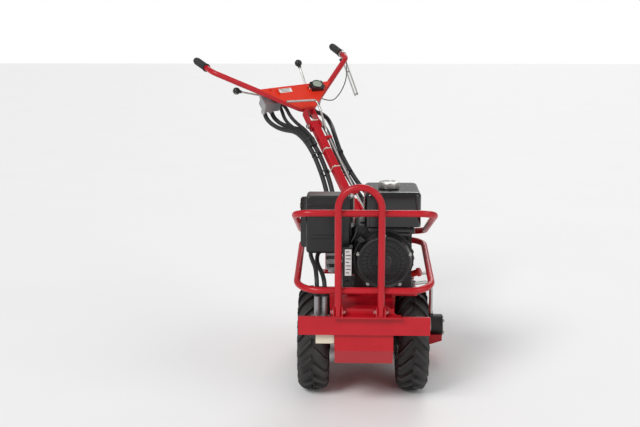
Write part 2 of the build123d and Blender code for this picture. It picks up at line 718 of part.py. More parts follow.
# Drive block behind the bumper: two upright ferrules take the front drive hoses.
ferrule_places = ((-167.0, -300.0), (-140.0, -300.0))
ferrule_top = 450.0
with BuildPart() as drive_block:
    with BuildSketch(Plane.XY.offset(334)):
        with Locations((-153.5, (CHASSIS_FRONT - 284) / 2)):
            Rectangle(68, -284 - CHASSIS_FRONT)
    extrude(amount=44)
    with BuildSketch(Plane.XY.offset(378)):
        with Locations(*ferrule_places):
            Circle(9.5)
    extrude(amount=ferrule_top - 378)
    with BuildSketch(Plane.XY.offset(340)):
        with Locations((-112, -309)):
            Rectangle(2 * (112 - CHASSIS_HALF) - 2 * SEAT, 36)
    extrude(amount=30)
keep("drive_block", drive_block)

tank_cap_place = (-32.0, 238.0)
with BuildPart() as tank_cap:
    with BuildSketch(Plane.XY.offset(DECK_Z + SEAT)):
        with Locations(tank_cap_place):
            Circle(16)
    extrude(amount=12)
    with BuildSketch(Plane.XY.offset(DECK_Z + SEAT + 12)):
        with Locations(tank_cap_place):
            RegularPolygon(23, 12)
    extrude(amount=20)
    fillet(tank_cap.edges().group_by(Axis.Z)[-1], 2.5)
keep("tank_cap", tank_cap)

# ======================= tine unit =======================
hood_start = -8.0
hood_end = 158.0
flap_angle = math.radians(180 - hood_end)
hinge_y = TINE_Y + HOOD_RADIUS * math.cos(flap_angle) + 6
hinge_z = TINE_Z + 58
hinge_rod = 2.5
with BuildPart() as hood:
    with BuildSketch(Plane.YZ.offset(-HOOD_HALF)):
        with Locations((TINE_Y, TINE_Z)):
            Circle(HOOD_RADIUS)
            Circle(HOOD_RADIUS - HOOD_PLATE, mode=Mode.SUBTRACT)
        with Locations((TINE_Y, TINE_Z - HOOD_RADIUS)):
            Rectangle(3 * HOOD_RADIUS, 2 * HOOD_RADIUS + 2 * 60, mode=Mode.SUBTRACT)
    extrude(amount=2 * HOOD_HALF)
    for side in (-HOOD_HALF, HOOD_HALF - HOOD_PLATE):
        with BuildSketch(Plane.YZ.offset(side)):
            with Locations((TINE_Y, TINE_Z)):
                Circle(HOOD_RADIUS)
            with Locations((TINE_Y, TINE_Z - HOOD_RADIUS)):
                Rectangle(3 * HOOD_RADIUS, 2 * HOOD_RADIUS - 60, mode=Mode.SUBTRACT)
            with Locations((hinge_y - 6, hinge_z)):
                RectangleRounded(30, 18, 4)
        extrude(amount=HOOD_PLATE)
    with BuildSketch(Plane.YZ.offset(-HOOD_HALF)):
        with Locations((hinge_y, hinge_z)):
            Circle(hinge_rod)
    extrude(amount=2 * HOOD_HALF)
    with BuildSketch(Plane.YZ.offset(-HOOD_HALF - 14)):
        with Locations((TINE_Y, TINE_Z)):
            Circle(34)
    extrude(amount=14)
    with BuildSketch(Plane.YZ.offset(-HOOD_HALF - 10)):
        with Locations((TINE_Y, TINE_Z)):
            Circle(TINE_SHAFT_RADIUS + RUNNING)
    extrude(amount=2 * HOOD_HALF + 20, mode=Mode.SUBTRACT)
keep("tine_hood", hood)

tine_end = HOOD_HALF + 9
with BuildPart() as tine_shaft:
    with BuildSketch(Plane.YZ.offset(-tine_end)):
        with Locations((TINE_Y, TINE_Z)):
            Circle(TINE_SHAFT_RADIUS)
    extrude(amount=2 * tine_end + 30)
keep("tine_shaft", tine_shaft)

tine_disc = 56.0
tine_foot = 36.0
with BuildPart() as tines:
    for number, set_x in enumerate(TINE_SETS):
        outward = 1 if number in (0, 2, 4) else -1
        first_angle = 15 * number
        with BuildSketch(Plane.YZ.offset(set_x - 3)):
            with Locations((TINE_Y, TINE_Z)):
                Circle(tine_disc)
        extrude(amount=6)
        with BuildSketch(Plane.YZ.offset(set_x + (3 if outward > 0 else -11))):
            with Locations((TINE_Y, TINE_Z)):
                with PolarLocations((tine_disc + TINE_RADIUS) / 2 - 10, 4, start_angle=first_angle):
                    Rectangle(TINE_RADIUS - tine_disc + 16, 30)
        extrude(amount=8)
        with BuildSketch(Plane.YZ.offset(set_x + (3 if outward > 0 else -3 - tine_foot))):
            with Locations((TINE_Y, TINE_Z)):
                with PolarLocations(TINE_RADIUS - 6, 4, start_angle=first_angle):
                    Rectangle(8, 30)
        extrude(amount=tine_foot)
    with BuildSketch(Plane.YZ.offset(-HOOD_HALF)):
        with Locations((TINE_Y, TINE_Z)):
            Circle(TINE_SHAFT_RADIUS + 0.1)
    extrude(amount=2 * HOOD_HALF, mode=Mode.SUBTRACT)
keep("tines", tines)

motor_plane = Plane.YZ.offset(HOOD_HALF + SEAT)
with BuildPart() as tine_motor:
    with BuildSketch(motor_plane):
        with Locations((TINE_Y, TINE_Z)):
            RectangleRounded(104, 84, 14)
    extrude(amount=12)
    with BuildSketch(motor_plane):
        with Locations((TINE_Y, TINE_Z)):
            Circle(TINE_MOTOR_RADIUS)
    extrude(amount=TINE_MOTOR_END - HOOD_HALF - SEAT)
    with BuildSketch(Plane.XY.offset(TINE_Z)):
        with Locations((HOOD_HALF + 37, TINE_Y - 16), (HOOD_HALF + 37, TINE_Y + 16)):
            Circle(11)
    extrude(amount=TINE_MOTOR_RADIUS + 10)
    with BuildSketch(motor_plane.offset(-1)):
        with Locations((TINE_Y, TINE_Z)):
            Circle(TINE_SHAFT_RADIUS + RUNNING)
    extrude(amount=46, mode=Mode.SUBTRACT)
keep("tine_motor", tine_motor)

# Motor guard: a skid plate under the motor with a wedge-shaped front cheek.
guard_top = TINE_Z - TINE_MOTOR_RADIUS - 4
guard_x = HOOD_HALF + SEAT
guard_end = guard_x + 82
with BuildPart() as motor_guard:
    with BuildSketch(Plane.XZ.offset(-(TINE_Y - TINE_MOTOR_RADIUS - 10))):
        cheek_outline = [
            (guard_x, guard_top + 24),
            (guard_end, guard_top + 24),
            (guard_end, guard_top - 2),
            (guard_x, guard_top - 28),
        ]
        Polygon(*cheek_outline, align=None)
    extrude(amount=5)
    with BuildSketch(Plane.XZ.offset(-(TINE_Y + TINE_MOTOR_RADIUS + 10))):
        skid_outline = [
            (guard_x, guard_top - 22),
            (guard_end, guard_top + 4),
            (guard_end, guard_top - 2),
            (guard_x, guard_top - 28),
        ]
        Polygon(*skid_outline, align=None)
    extrude(amount=2 * TINE_MOTOR_RADIUS + 20)
keep("motor_guard", motor_guard)

# Motor lines: steel pipes up from the motor ports, then in to the chassis arm.
port_z = TINE_Z + TINE_MOTOR_RADIUS + 10 + SEAT
line_x = HOOD_HALF + 37
line_radius = 7.0
with BuildPart() as motor_lines:
    for side in (-16, 16):
        line_y = TINE_Y + side
        line_top = arm_underside + 52 + side
        with BuildLine() as line_path:
            FilletPolyline(
                (line_x, line_y, port_z),
                (line_x, line_y, line_top),
                (line_x - 80, line_y - 40, line_top),
                (CHASSIS_HALF + SEAT, line_y - 40, line_top),
                radius=[34, 60],
            )
        with BuildSketch(Plane(origin=line_path.line @ 0, z_dir=line_path.line % 0)):
            Circle(line_radius)
        sweep()
keep("motor_lines", motor_lines)

with BuildPart() as flap:
    with BuildSketch(Plane.YZ.offset(-HOOD_HALF + 10)):
        with Locations((hinge_y, hinge_z)):
            Circle(2 * hinge_rod)
    extrude(amount=2 * HOOD_HALF - 20)
    with BuildSketch(Plane.XZ.offset(-(hinge_y + 1.5))):
        with Locations((0, hinge_z - FLAP_LENGTH / 2)):
            Rectangle(2 * HOOD_HALF - 20, FLAP_LENGTH)
        with Locations((0, hinge_z - 30 - FLAP_LENGTH / 2)):
            Rectangle(2 * 48, FLAP_LENGTH, mode=Mode.SUBTRACT)
    extrude(amount=3)
    with BuildSketch(Plane.YZ.offset(-HOOD_HALF)):
        with Locations((hinge_y, hinge_z)):
            Circle(hinge_rod + RUNNING)
    extrude(amount=2 * HOOD_HALF, mode=Mode.SUBTRACT)
keep("rear_flap", flap)

# Stake arm: runs back from the chassis arms over the hood to the stake socket.
arm_low = hood_top + 12
arm_high = arm_low + 44
socket_out = STAKE_WIDTH / 2 + 1 + 6
socket_in = STAKE_WIDTH / 2 + 0.6
with BuildPart() as stake_arm:
    with BuildSketch(Plane.XY.offset(arm_low)):
        with Locations((0, (CHASSIS_REAR + SEAT + STAKE_Y - socket_out) / 2)):
            Rectangle(50, STAKE_Y - socket_out - CHASSIS_REAR - SEAT)
    extrude(amount=arm_high - arm_low)
    with BuildSketch(Plane.XY.offset(arm_low - 34)):
        with Locations((0, STAKE_Y)):
            Rectangle(2 * socket_out, 2 * socket_out)
    extrude(amount=arm_high - arm_low + 50)
    with BuildSketch(Plane.XY.offset(arm_low - 40)):
        with Locations((0, STAKE_Y)):
            Rectangle(2 * socket_in, 2 * socket_in)
    extrude(amount=arm_high - arm_low + 80, mode=Mode.SUBTRACT)
    with BuildSketch(Plane.XZ.offset(-(CHASSIS_REAR + SEAT + 6))):
        with Locations((0, (arm_low + arm_high) / 2 + 10)):
            RectangleRounded(130, 84, 8)
    extrude(amount=6)
keep("stake_arm", stake_arm)

shoe = 8.0
stake_top = arm_high + 84
with BuildPart() as stake:
    with BuildSketch(Plane.XY):
        with Locations((0, STAKE_Y)):
            RectangleRounded(SHOE_WIDTH, SHOE_LENGTH, 10)
    extrude(amount=shoe)
    with BuildSketch(Plane.XY):
        with Locations((0, STAKE_Y)):
            Rectangle(STAKE_WIDTH, STAKE_WIDTH)
    extrude(amount=stake_top)
    with BuildSketch(Plane.YZ.offset(-20)):
        with Locations((STAKE_Y, arm_high + 30), (STAKE_Y, arm_high + 52), (STAKE_Y, arm_high + 72)):
            Circle(4.2)
    extrude(amount=40, mode=Mode.SUBTRACT)
keep("depth_stake", stake)

# ======================= mast and handle column =======================
sector_low = -28.0
sector_thick = 8.0
kingpin_top = 31.0
with BuildPart() as mast:
    with BuildSketch(mast_plane.offset(-200)):
        Rectangle(60, 60)
    extrude(amount=200 + sector_low)
    with BuildSketch(Plane.XY.offset(DECK_Z + SEAT)):
        with Locations((0, SWING_Y + 28)):
            Rectangle(400, 400)
    extrude(amount=-300, mode=Mode.SUBTRACT)
    with BuildSketch(mast_plane.offset(sector_low)):
        Circle(SECTOR_RADIUS)
        with PolarLocations(SECTOR_RADIUS - 14, 7, start_angle=-180, angular_range=180):
            Circle(6, mode=Mode.SUBTRACT)
    extrude(amount=sector_thick)
    with BuildSketch(mast_plane.offset(sector_low)):
        Circle(KINGPIN_RADIUS)
    extrude(amount=kingpin_top - sector_low + 14)
    with BuildSketch(Plane.XY.offset(DECK_Z + SEAT)):
        with Locations((0, SWING_Y + 28)):
            RectangleRounded(150, 90, 10)
    extrude(amount=8)
    with BuildSketch(mast_plane.offset(kingpin_top + SEAT)):
        RegularPolygon(19, 6)
    extrude(amount=12)
keep("swing_mast", mast)

mast_side = Plane(origin=(0, SWING_Y, SWING_Z), x_dir=mast_plane.y_dir, z_dir=(1, 0, 0))
cheek = 6.0
neck_half = NECK_TUBE / 2
head_outline = [(4, -19), (62, -19), (108, 40), (92, 84), (36, 58), (24, 30), (4, 30)]
with BuildPart() as pivot_head:
    with BuildSketch(mast_plane.offset(sector_low + sector_thick + SEAT * 2)):
        Circle(27)
    extrude(amount=kingpin_top - sector_low - sector_thick - SEAT * 4)
    for start in (-neck_half - SEAT - cheek, neck_half + SEAT):
        with BuildSketch(mast_side.offset(start)):
            Polygon(*head_outline, align=None)
        extrude(amount=cheek)
    with BuildSketch(mast_side.offset(-neck_half - SEAT)):
        Polygon((4, -19), (50, -19), (50, -11), (4, -11), align=None)
    extrude(amount=2 * neck_half + 2 * SEAT)
    with BuildSketch(mast_plane.offset(sector_low)):
        Circle(KINGPIN_RADIUS + RUNNING)
    extrude(amount=100, mode=Mode.SUBTRACT)
keep("pivot_head", pivot_head, swung=True)

neck_start = 64.0
rod_x = 36.0
rod_radius = 5.0
guide_places = (150.0, 455.0)



def across_neck(x, facing=1):
    """A plane square to the tilt bolt, at x along it, facing along it or back."""
    centre = neck_plane.from_local_coords((x, 0, tilt_length))
    return Plane(origin=centre, x_dir=(0, 1, 0), z_dir=(facing, 0, 0))


tilt_tube = 80.0
boss_room = 60.0
with BuildPart() as neck:
    with BuildSketch(neck_plane.offset(neck_start)):
        RectangleRounded(NECK_TUBE, NECK_TUBE, 4)
        RectangleRounded(NECK_TUBE - 2 * NECK_WALL, NECK_TUBE - 2 * NECK_WALL, 2, mode=Mode.SUBTRACT)
    extrude(amount=tilt_length + 16 - neck_start)
    with BuildSketch(across_neck(-tilt_tube / 2)):
        Circle(13)
    extrude(amount=tilt_tube)
    for facing in (1, -1):
        with BuildSketch(across_neck(facing * neck_half, facing)):
            Circle(20)
        extrude(amount=boss_room, mode=Mode.SUBTRACT)
    with BuildSketch(across_neck(-tilt_tube / 2)):
        Circle(TILT_BOLT_RADIUS + RUNNING)
    extrude(amount=tilt_tube, mode=Mode.SUBTRACT)
    for place in guide_places:
        with BuildSketch(neck_plane.offset(place)):
            with Locations(((neck_half - 1 + rod_x + 9) / 2, -8)):
                Rectangle(rod_x + 9 - neck_half + 1, 18)
            with Locations((rod_x, -8)):
                Circle(rod_radius + RUNNING, mode=Mode.SUBTRACT)
        extrude(amount=12)
keep("neck_tube", neck, swung=True)

fork_top = neck_length - BAR_RADIUS - SEAT
with BuildPart() as fork:
    for side in (-1, 1):
        start = side * (neck_half + 0.3) + (0 if side > 0 else -cheek)
        cheek_centre = neck_plane.from_local_coords((start, 0, 0))
        with BuildSketch(Plane(origin=cheek_centre, x_dir=neck_plane.z_dir, z_dir=(1, 0, 0))):
            with Locations(((tilt_length - 22 + fork_top) / 2, 0)):
                RectangleRounded(fork_top - tilt_length + 22, 40, 8)
        extrude(amount=cheek)
    with BuildSketch(neck_plane.offset(fork_top - cheek)):
        Rectangle(NECK_TUBE + 0.6, 40)
    extrude(amount=cheek)
    bolt_start = neck_half + cheek + 14
    bolt_plane = across_neck(-bolt_start)
    with BuildSketch(bolt_plane):
        Circle(TILT_BOLT_RADIUS)
    extrude(amount=2 * bolt_start)
    for start in (4.0, 2 * bolt_start - 4 - 9.6):
        with BuildSketch(bolt_plane.offset(start)):
            RegularPolygon(11, 6)
        extrude(amount=9.6)
keep("fork", fork, swung=True)

def on_handle(x, y, z):
    """A point of the handle plane in the machine's frame, before the column is swung."""
    point = handle_plane.from_local_coords((x, y, z))
    return (point.X, point.Y, point.Z)


def on_neck(x, y, z):
    """A point of the neck plane in the machine's frame, before the column is swung."""
    point = neck_plane.from_local_coords((x, y, z))
    return (point.X, point.Y, point.Z)


bar_points = [
    on_handle(-GRIP_HALF, bar_length + grip_along, grip_drop),
    on_handle(-BAR_HALF, bar_length, 0),
    on_handle(-BAR_START, 0, 0),
    on_handle(BAR_START, 0, 0),
    on_handle(BAR_HALF, bar_length, 0),
    on_handle(GRIP_HALF, bar_length + grip_along, grip_drop),
]
keep("handlebar", bent_tube(bar_points, [60, 45, 45, 60], BAR_RADIUS, BAR_WALL), swung=True)

with BuildPart() as grips:
    for sign in (-1, 1):
        tip = Vector(*on_handle(sign * GRIP_HALF, bar_length + grip_along, grip_drop))
        bend = Vector(*on_handle(sign * BAR_HALF, bar_length, 0))
        outward = (tip - bend).normalized()
        grip_start = tip - outward * (GRIP_LENGTH - 8)
        with BuildSketch(Plane(origin=grip_start, z_dir=outward)):
            Circle(GRIP_RADIUS)
        extrude(amount=GRIP_LENGTH)
        with BuildSketch(Plane(origin=grip_start, z_dir=outward)):
            Circle(BAR_RADIUS + 0.1)
        extrude(amount=GRIP_LENGTH - 8 + SEAT, mode=Mode.SUBTRACT)
keep("grips", grips, swung=True)

panel_seat = BAR_RADIUS + SEAT
panel_rear = (PANEL_HALF - BAR_START) * bar_length / (BAR_HALF - BAR_START)
with BuildPart() as panel:
    with BuildSketch(handle_plane.offset(panel_seat)):
        panel_edge = PANEL_HALF + 6
        Polygon((-34, -10), (34, -10), (panel_edge, panel_rear), (-panel_edge, panel_rear), align=None)
    extrude(amount=PANEL_THICK)
keep("panel", panel, swung=True)

panel_top = panel_seat + PANEL_THICK
with BuildPart() as meter:
    with BuildSketch(handle_plane.offset(panel_top + SEAT)):
        with Locations((90, panel_rear - 34)):
            RectangleRounded(62, 42, 6)
    extrude(amount=24)
    fillet(meter.edges().group_by(Axis(origin=(0, 0, 0), direction=handle_plane.z_dir))[-1], 3)
keep("hour_meter", meter, swung=True)

# Control valves: a spool block under each side of the panel, hung on two studs. Each carries the
# pin of its lever between two ears at its rear.
valve_top = -18.0
valve_low = -66.0
valve_depth = 64.0
lever_pin = 4.0
lever_eye = 9.0
lever_rod = 4.5
right_valve_x = 76.0
left_valve_x = -128.0
valve_rear = panel_rear - 2.0
drive_pivot = (right_valve_x, valve_rear + 18, -34.0)
tine_pivot = (left_valve_x - 20, valve_rear + 18, -40.0)
drive_pin_plane = Plane(origin=on_handle(*drive_pivot), x_dir=(0, 1, 0), z_dir=(1, 0, 0))
tine_pin_plane = Plane(origin=on_handle(*tine_pivot), x_dir=(1, 0, 0), z_dir=handle_plane.z_dir)
drive_ear = 14.0
tine_ear = 11.0
ear_thick = 5.0


def valve_block(centre, stud_x):
    """A valve body with its two hanging studs."""
    with BuildPart() as valve:
        with BuildSketch(handle_plane.offset(valve_low)):
            with Locations((centre, valve_rear - valve_depth / 2)):
                RectangleRounded(78, valve_depth, 5)
        extrude(amount=valve_top - valve_low)
        with BuildSketch(handle_plane.offset(valve_top)):
            with Locations(*stud_x):
                Circle(6)
        extrude(amount=panel_seat - SEAT - valve_top)
    return valve


right_block = valve_block(right_valve_x, [(50, valve_rear - 22), (56, valve_rear - 44)])
with BuildPart() as valve_right:
    add(right_block)
    with BuildSketch(drive_pin_plane.offset(-drive_ear - ear_thick)):
        Circle(lever_pin)
    extrude(amount=2 * (drive_ear + ear_thick))
    for start in (right_valve_x - drive_ear - ear_thick / 2, right_valve_x + drive_ear + ear_thick / 2):
        with BuildSketch(handle_plane.offset(drive_pivot[2] - 8)):
            with Locations((start, valve_rear + 11)):
                Rectangle(ear_thick, 26)
        extrude(amount=16)
keep("valve_right", valve_right, swung=True)

left_block = valve_block(left_valve_x, [(-98, valve_rear - 20), (-98, valve_rear - 38)])
with BuildPart() as valve_left:
    add(left_block)
    with BuildSketch(tine_pin_plane.offset(-tine_ear - ear_thick)):
        Circle(lever_pin)
    extrude(amount=2 * (tine_ear + ear_thick))
    for start in (-tine_ear - ear_thick, tine_ear):
        with BuildSketch(tine_pin_plane.offset(start)):
            with Locations((0, -6)):
                Rectangle(16, 28)
        extrude(amount=ear_thick)
keep("valve_left", valve_left, swung=True)


def knob_lever(pivot, reach, pin_plane, eye_length):
    """A control lever: an eye on its pin, a round rod and a ball knob at the end of its reach."""
    start = Vector(*on_handle(*pivot))
    end = Vector(*on_handle(*(a + b for a, b in zip(pivot, reach))))
    with BuildPart() as lever:
        with BuildSketch(pin_plane.offset(-eye_length / 2)):
            Circle(lever_eye)
        extrude(amount=eye_length)
        with BuildSketch(Plane(origin=start, z_dir=end - start)):
            Circle(lever_rod)
        extrude(amount=(end - start).length)
        with Locations(end):
            Sphere(KNOB_RADIUS)
        with BuildSketch(pin_plane.offset(-eye_length)):
            Circle(lever_pin + RUNNING)
        extrude(amount=2 * eye_length, mode=Mode.SUBTRACT)
    return lever


# Drive lever: fore and aft on a cross pin. Tine lever: in the panel's plane on an upright pin.
drive_lever = knob_lever(drive_pivot, (-6.0, 120.0, 56.0), drive_pin_plane, 2 * drive_ear - 1)
keep("drive_lever", drive_lever, swung=True)
tine_lever = knob_lever(tine_pivot, (-102.0, 56.0, -6.0), tine_pin_plane, 2 * tine_ear - 1)
keep("tine_lever", tine_lever, swung=True)

# Lock rod: runs up the column's right side and crosses above the panel.
rod_points = [
    on_neck(rod_x, -8, 70),
    on_neck(rod_x, -8, 500),
    on_neck(rod_x - 4, -50, 588),
    on_neck(rod_x - 6, -54, 640),
    on_neck(-107, -54, 652),
]
keep("lock_rod", bent_tube(rod_points, [60, 60, 14], rod_radius), swung=True)

# Presence lever: two flat strips that hang from a clamp ahead of the right grip.
right_bend = Vector(*on_handle(BAR_HALF, bar_length, 0))
right_tip = Vector(*on_handle(GRIP_HALF, bar_length + grip_along, grip_drop))
grip_dir = (right_tip - right_bend).normalized()
hang_dir = (Vector(*on_handle(47, -131, -132)) - Vector(*on_handle(0, 0, 0))).normalized()
clamp_centre = right_bend + grip_dir * 46
presence_axis = hang_dir.cross(grip_dir).normalized()
hang_square = (hang_dir - grip_dir * hang_dir.dot(grip_dir)).normalized()
clamp_pivot = clamp_centre + hang_square * 26
with BuildPart() as presence_clamp:
    with BuildSketch(Plane(origin=clamp_centre - grip_dir * 7, z_dir=grip_dir)):
        Circle(BAR_RADIUS + 5)
    extrude(amount=14)
    clamp_foot = clamp_centre + hang_square * (BAR_RADIUS + 2)
    with BuildSketch(Plane(origin=clamp_foot, x_dir=grip_dir, z_dir=hang_square)):
        Rectangle(14, 8)
    extrude(amount=18)
    with BuildSketch(Plane(origin=clamp_centre - grip_dir * 20, z_dir=grip_dir)):
        Circle(BAR_RADIUS + 0.1)
    extrude(amount=60, mode=Mode.SUBTRACT)
    with BuildSketch(Plane(origin=clamp_pivot - presence_axis * 12, z_dir=presence_axis)):
        Circle(3)
    extrude(amount=24)
keep("presence_clamp", presence_clamp, swung=True)

strip_plane = Plane(origin=clamp_pivot, x_dir=hang_dir, z_dir=presence_axis)
strip_length = 178.0
with BuildPart() as presence_lever:
    for start in (-8.6, 5.6):
        with BuildSketch(strip_plane.offset(start)):
            with Locations((strip_length / 2, 0)):
                SlotCenterToCenter(strip_length, 16)
            Circle(3 + RUNNING, mode=Mode.SUBTRACT)
        extrude(amount=3)
    with BuildSketch(strip_plane.offset(-8.6)):
        with Locations((strip_length * 0.35, 0), (strip_length, 0)):
            Circle(4)
    extrude(amount=17.2)
keep("presence_lever", presence_lever, swung=True)

# ======================= hoses =======================
hose_routes = {
    "hose_left_feed": [
        swung_point(handle_plane, -112, panel_rear - 30, valve_low - SEAT),
        swung_point(handle_plane, -112, panel_rear - 30, valve_low - 52),
        swung_point(handle_plane, -78, panel_rear - 112, valve_low - 56),
        swung_point(neck_plane, -38, 12, 530),
        swung_point(neck_plane, -31, 18, 400),
        swung_point(neck_plane, -34, 16, 290),
        (-112, 402, 640),
        (-92, 338, 552),
        (-64, 290, 486),
        (-64, 290, DECK_Z + SEAT),
    ],
    "hose_left_return": [
        swung_point(handle_plane, -146, panel_rear - 30, valve_low - SEAT),
        swung_point(handle_plane, -146, panel_rear - 30, valve_low - 58),
        swung_point(handle_plane, -106, panel_rear - 122, valve_low - 62),
        swung_point(neck_plane, -61, 18, 530),
        swung_point(neck_plane, -53, 26, 400),
        swung_point(neck_plane, -57, 24, 290),
        (-137, 402, 640),
        (-118, 322, 548),
        (-90, 262, 486),
        (-90, 262, DECK_Z + SEAT),
    ],
    "hose_right_feed": [
        swung_point(handle_plane, 62, panel_rear - 30, valve_low - SEAT),
        swung_point(handle_plane, 62, panel_rear - 30, valve_low - 56),
        swung_point(handle_plane, 110, panel_rear - 100, valve_low - 66),
        swung_point(neck_plane, 62, 24, 525),
        swung_point(neck_plane, 52, 28, 400),
        swung_point(neck_plane, 52, 28, 270),
        (0, 456, 664),
        (66, 430, 580),
        (92, 352, 512),
        (60, 296, 480),
        (60, 296, DECK_Z + SEAT),
    ],
    "hose_right_return": [
        swung_point(handle_plane, 94, panel_rear - 30, valve_low - SEAT),
        swung_point(handle_plane, 94, panel_rear - 30, valve_low - 60),
        swung_point(handle_plane, 152, panel_rear - 76, valve_low - 58),
        swung_point(handle_plane, 158, panel_rear - 142, valve_low - 68),
        swung_point(neck_plane, 87, 26, 510),
        swung_point(neck_plane, 76, 30, 400),
        swung_point(neck_plane, 76, 30, 270),
        (34, 456, 672),
        (98, 430, 590),
        (122, 346, 516),
        (88, 268, 484),
        (88, 268, DECK_Z + SEAT),
    ],
}
for side in ("left", "right"):
    feed = hose("hose_" + side, hose_routes["hose_" + side + "_feed"], HOSE_RADIUS)
    back = hose("hose_" + side, hose_routes["hose_" + side + "_return"], HOSE_RADIUS)
    with BuildPart() as pair:
        add(feed)
        add(back)
    keep("hoses_" + side, pair)

drive_routes = (
    [
        (32.8, 200, 566),
        (-20, 200, 566),
        (-80, 165, 562),
        (-150, 130, 556),
        (-198, 50, 552),
        (-200, -60, 546),
        (-190, -150, 546),
        (-174, -236, 538),
        (-167, -300, 505),
        (-167, -300, ferrule_top + SEAT),
    ],
    [
        (32.8, 176, 536),
        (-16, 176, 536),
        (-76, 135, 534),
        (-140, 100, 530),
        (-174, 40, 528),
        (-176, -60, 522),
        (-166, -150, 520),
        (-150, -236, 516),
        (-140, -300, 500),
        (-140, -300, ferrule_top + SEAT),
    ],
)
drive_hose_high = hose("drive_hose", drive_routes[0], DRIVE_HOSE_RADIUS)
drive_hose_low = hose("drive_hose", drive_routes[1], DRIVE_HOSE_RADIUS)
with BuildPart() as drive_hoses:
    add(drive_hose_high)
    add(drive_hose_low)
keep("drive_hoses", drive_hoses)

cable_points = [
    swung_point(handle_plane, 352, bar_length + 6, -36),
    swung_point(handle_plane, 336, bar_length - 56, -84),
    swung_point(handle_plane, 290, bar_length - 110, -112),
    swung_point(handle_plane, 230, bar_length - 160, -112),
    swung_point(handle_plane, 176, bar_length - 190, -80),
    swung_point(handle_plane, 117, bar_length - 200, -46),
]
keep("presence_cable", hose("presence_cable", cable_points, 2.6))

# ======================= out of the working frame =======================
boxes = [solid.bounding_box() for solid in finished.values()]
middle_x = (min(box.min.X for box in boxes) + max(box.max.X for box in boxes)) / 2
middle_y = (min(box.min.Y for box in boxes) + max(box.max.Y for box in boxes)) / 2
low_z = min(box.min.Z for box in boxes)
print("origin shift", -middle_x, -middle_y, -low_z)
for name, solid in finished.items():
    placed = solid.moved(Location((-middle_x, -middle_y, -low_z)))
    placed.label = name
    export_step(placed, "parts/" + name + ".step")
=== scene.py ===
"""Looks of a hydraulic walk-behind tiller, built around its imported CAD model."""

import json
import logging
import math
from dataclasses import dataclass
from enum import Enum
from typing import Sequence

import bmesh
import bpy
from mathutils import Matrix, Vector


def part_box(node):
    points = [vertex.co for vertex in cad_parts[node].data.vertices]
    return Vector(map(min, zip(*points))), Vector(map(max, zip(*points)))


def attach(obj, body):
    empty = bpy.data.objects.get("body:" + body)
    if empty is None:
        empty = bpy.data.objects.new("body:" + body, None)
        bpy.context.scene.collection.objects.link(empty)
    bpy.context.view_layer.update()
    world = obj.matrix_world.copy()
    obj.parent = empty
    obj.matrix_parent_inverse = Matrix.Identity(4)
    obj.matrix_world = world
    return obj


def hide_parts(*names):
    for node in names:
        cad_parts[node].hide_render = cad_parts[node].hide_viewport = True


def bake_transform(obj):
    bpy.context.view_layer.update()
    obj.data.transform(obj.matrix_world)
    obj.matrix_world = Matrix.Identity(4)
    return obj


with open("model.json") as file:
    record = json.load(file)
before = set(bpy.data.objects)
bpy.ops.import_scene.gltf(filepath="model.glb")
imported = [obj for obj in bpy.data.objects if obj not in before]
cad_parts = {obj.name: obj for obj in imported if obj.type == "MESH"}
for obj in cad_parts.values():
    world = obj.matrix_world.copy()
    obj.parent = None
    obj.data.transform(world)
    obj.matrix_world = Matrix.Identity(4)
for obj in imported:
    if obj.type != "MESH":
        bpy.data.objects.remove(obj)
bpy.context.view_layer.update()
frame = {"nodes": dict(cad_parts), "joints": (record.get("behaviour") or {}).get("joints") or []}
LOG = logging.getLogger("tiller")
MM = 0.001
FRONT = Vector((0, -1, 0))
RIGHT = Vector((1, 0, 0))
UP = Vector((0, 0, 1))
CLOSE = 1e-5
SHARP = math.radians(32)
JOINTS = {joint["name"]: joint for joint in frame["joints"]}


# ------------------------------------------------------------------ places
def joint_place(name: str) -> Vector:
    """The point that a joint turns about."""
    return Vector(JOINTS[name]["pos_m"])


def joint_axis(name: str) -> Vector:
    """The unit axis of a joint."""
    return Vector(JOINTS[name]["axis"]).normalized()


@dataclass(frozen=True)
class Local:
    """A right-angled frame whose coordinates are given in millimetres."""

    origin: Vector
    x: Vector
    y: Vector
    z: Vector

    def at(self, x: float, y: float, z: float) -> Vector:
        """The row-frame point of local coordinates in millimetres."""
        return self.origin + (self.x * x + self.y * y + self.z * z) * MM

    def matrix(self, x: float = 0, y: float = 0, z: float = 0) -> Matrix:
        """A matrix that carries metres in this frame, from a local point, to the row frame."""
        turn = Matrix((self.x, self.y, self.z)).transposed().to_4x4()
        return Matrix.Translation(self.at(x, y, z)) @ turn


def machine_frame() -> Local:
    """The machine's own frame: between the wheels on the ground."""
    middle = (joint_place("wheel_left_spin") + joint_place("wheel_right_spin")) / 2
    return Local(Vector((middle.x, middle.y, 0)), Vector((1, 0, 0)), Vector((0, 1, 0)), Vector((0, 0, 1)))


def handle_frame() -> Local:
    """The handlebar's frame: at the apex of its V, with z square to the panel."""
    x, z = joint_axis("drive_lever_rock"), joint_axis("tine_lever_swing")
    y = z.cross(x)
    pivot = joint_place("drive_lever_rock")
    return Local(pivot - (x * 76 + y * 160.35 - z * 34) * MM, x, y, z)


def neck_frame() -> Local:
    """The column's frame: z runs up the neck tube from its swing pivot."""
    x, z = joint_axis("handle_tilt"), joint_axis("lock_rod_twist")
    return Local(joint_place("column_swing"), x, z.cross(x), z)


BASE = machine_frame()
HANDLE = handle_frame()
NECK = neck_frame()


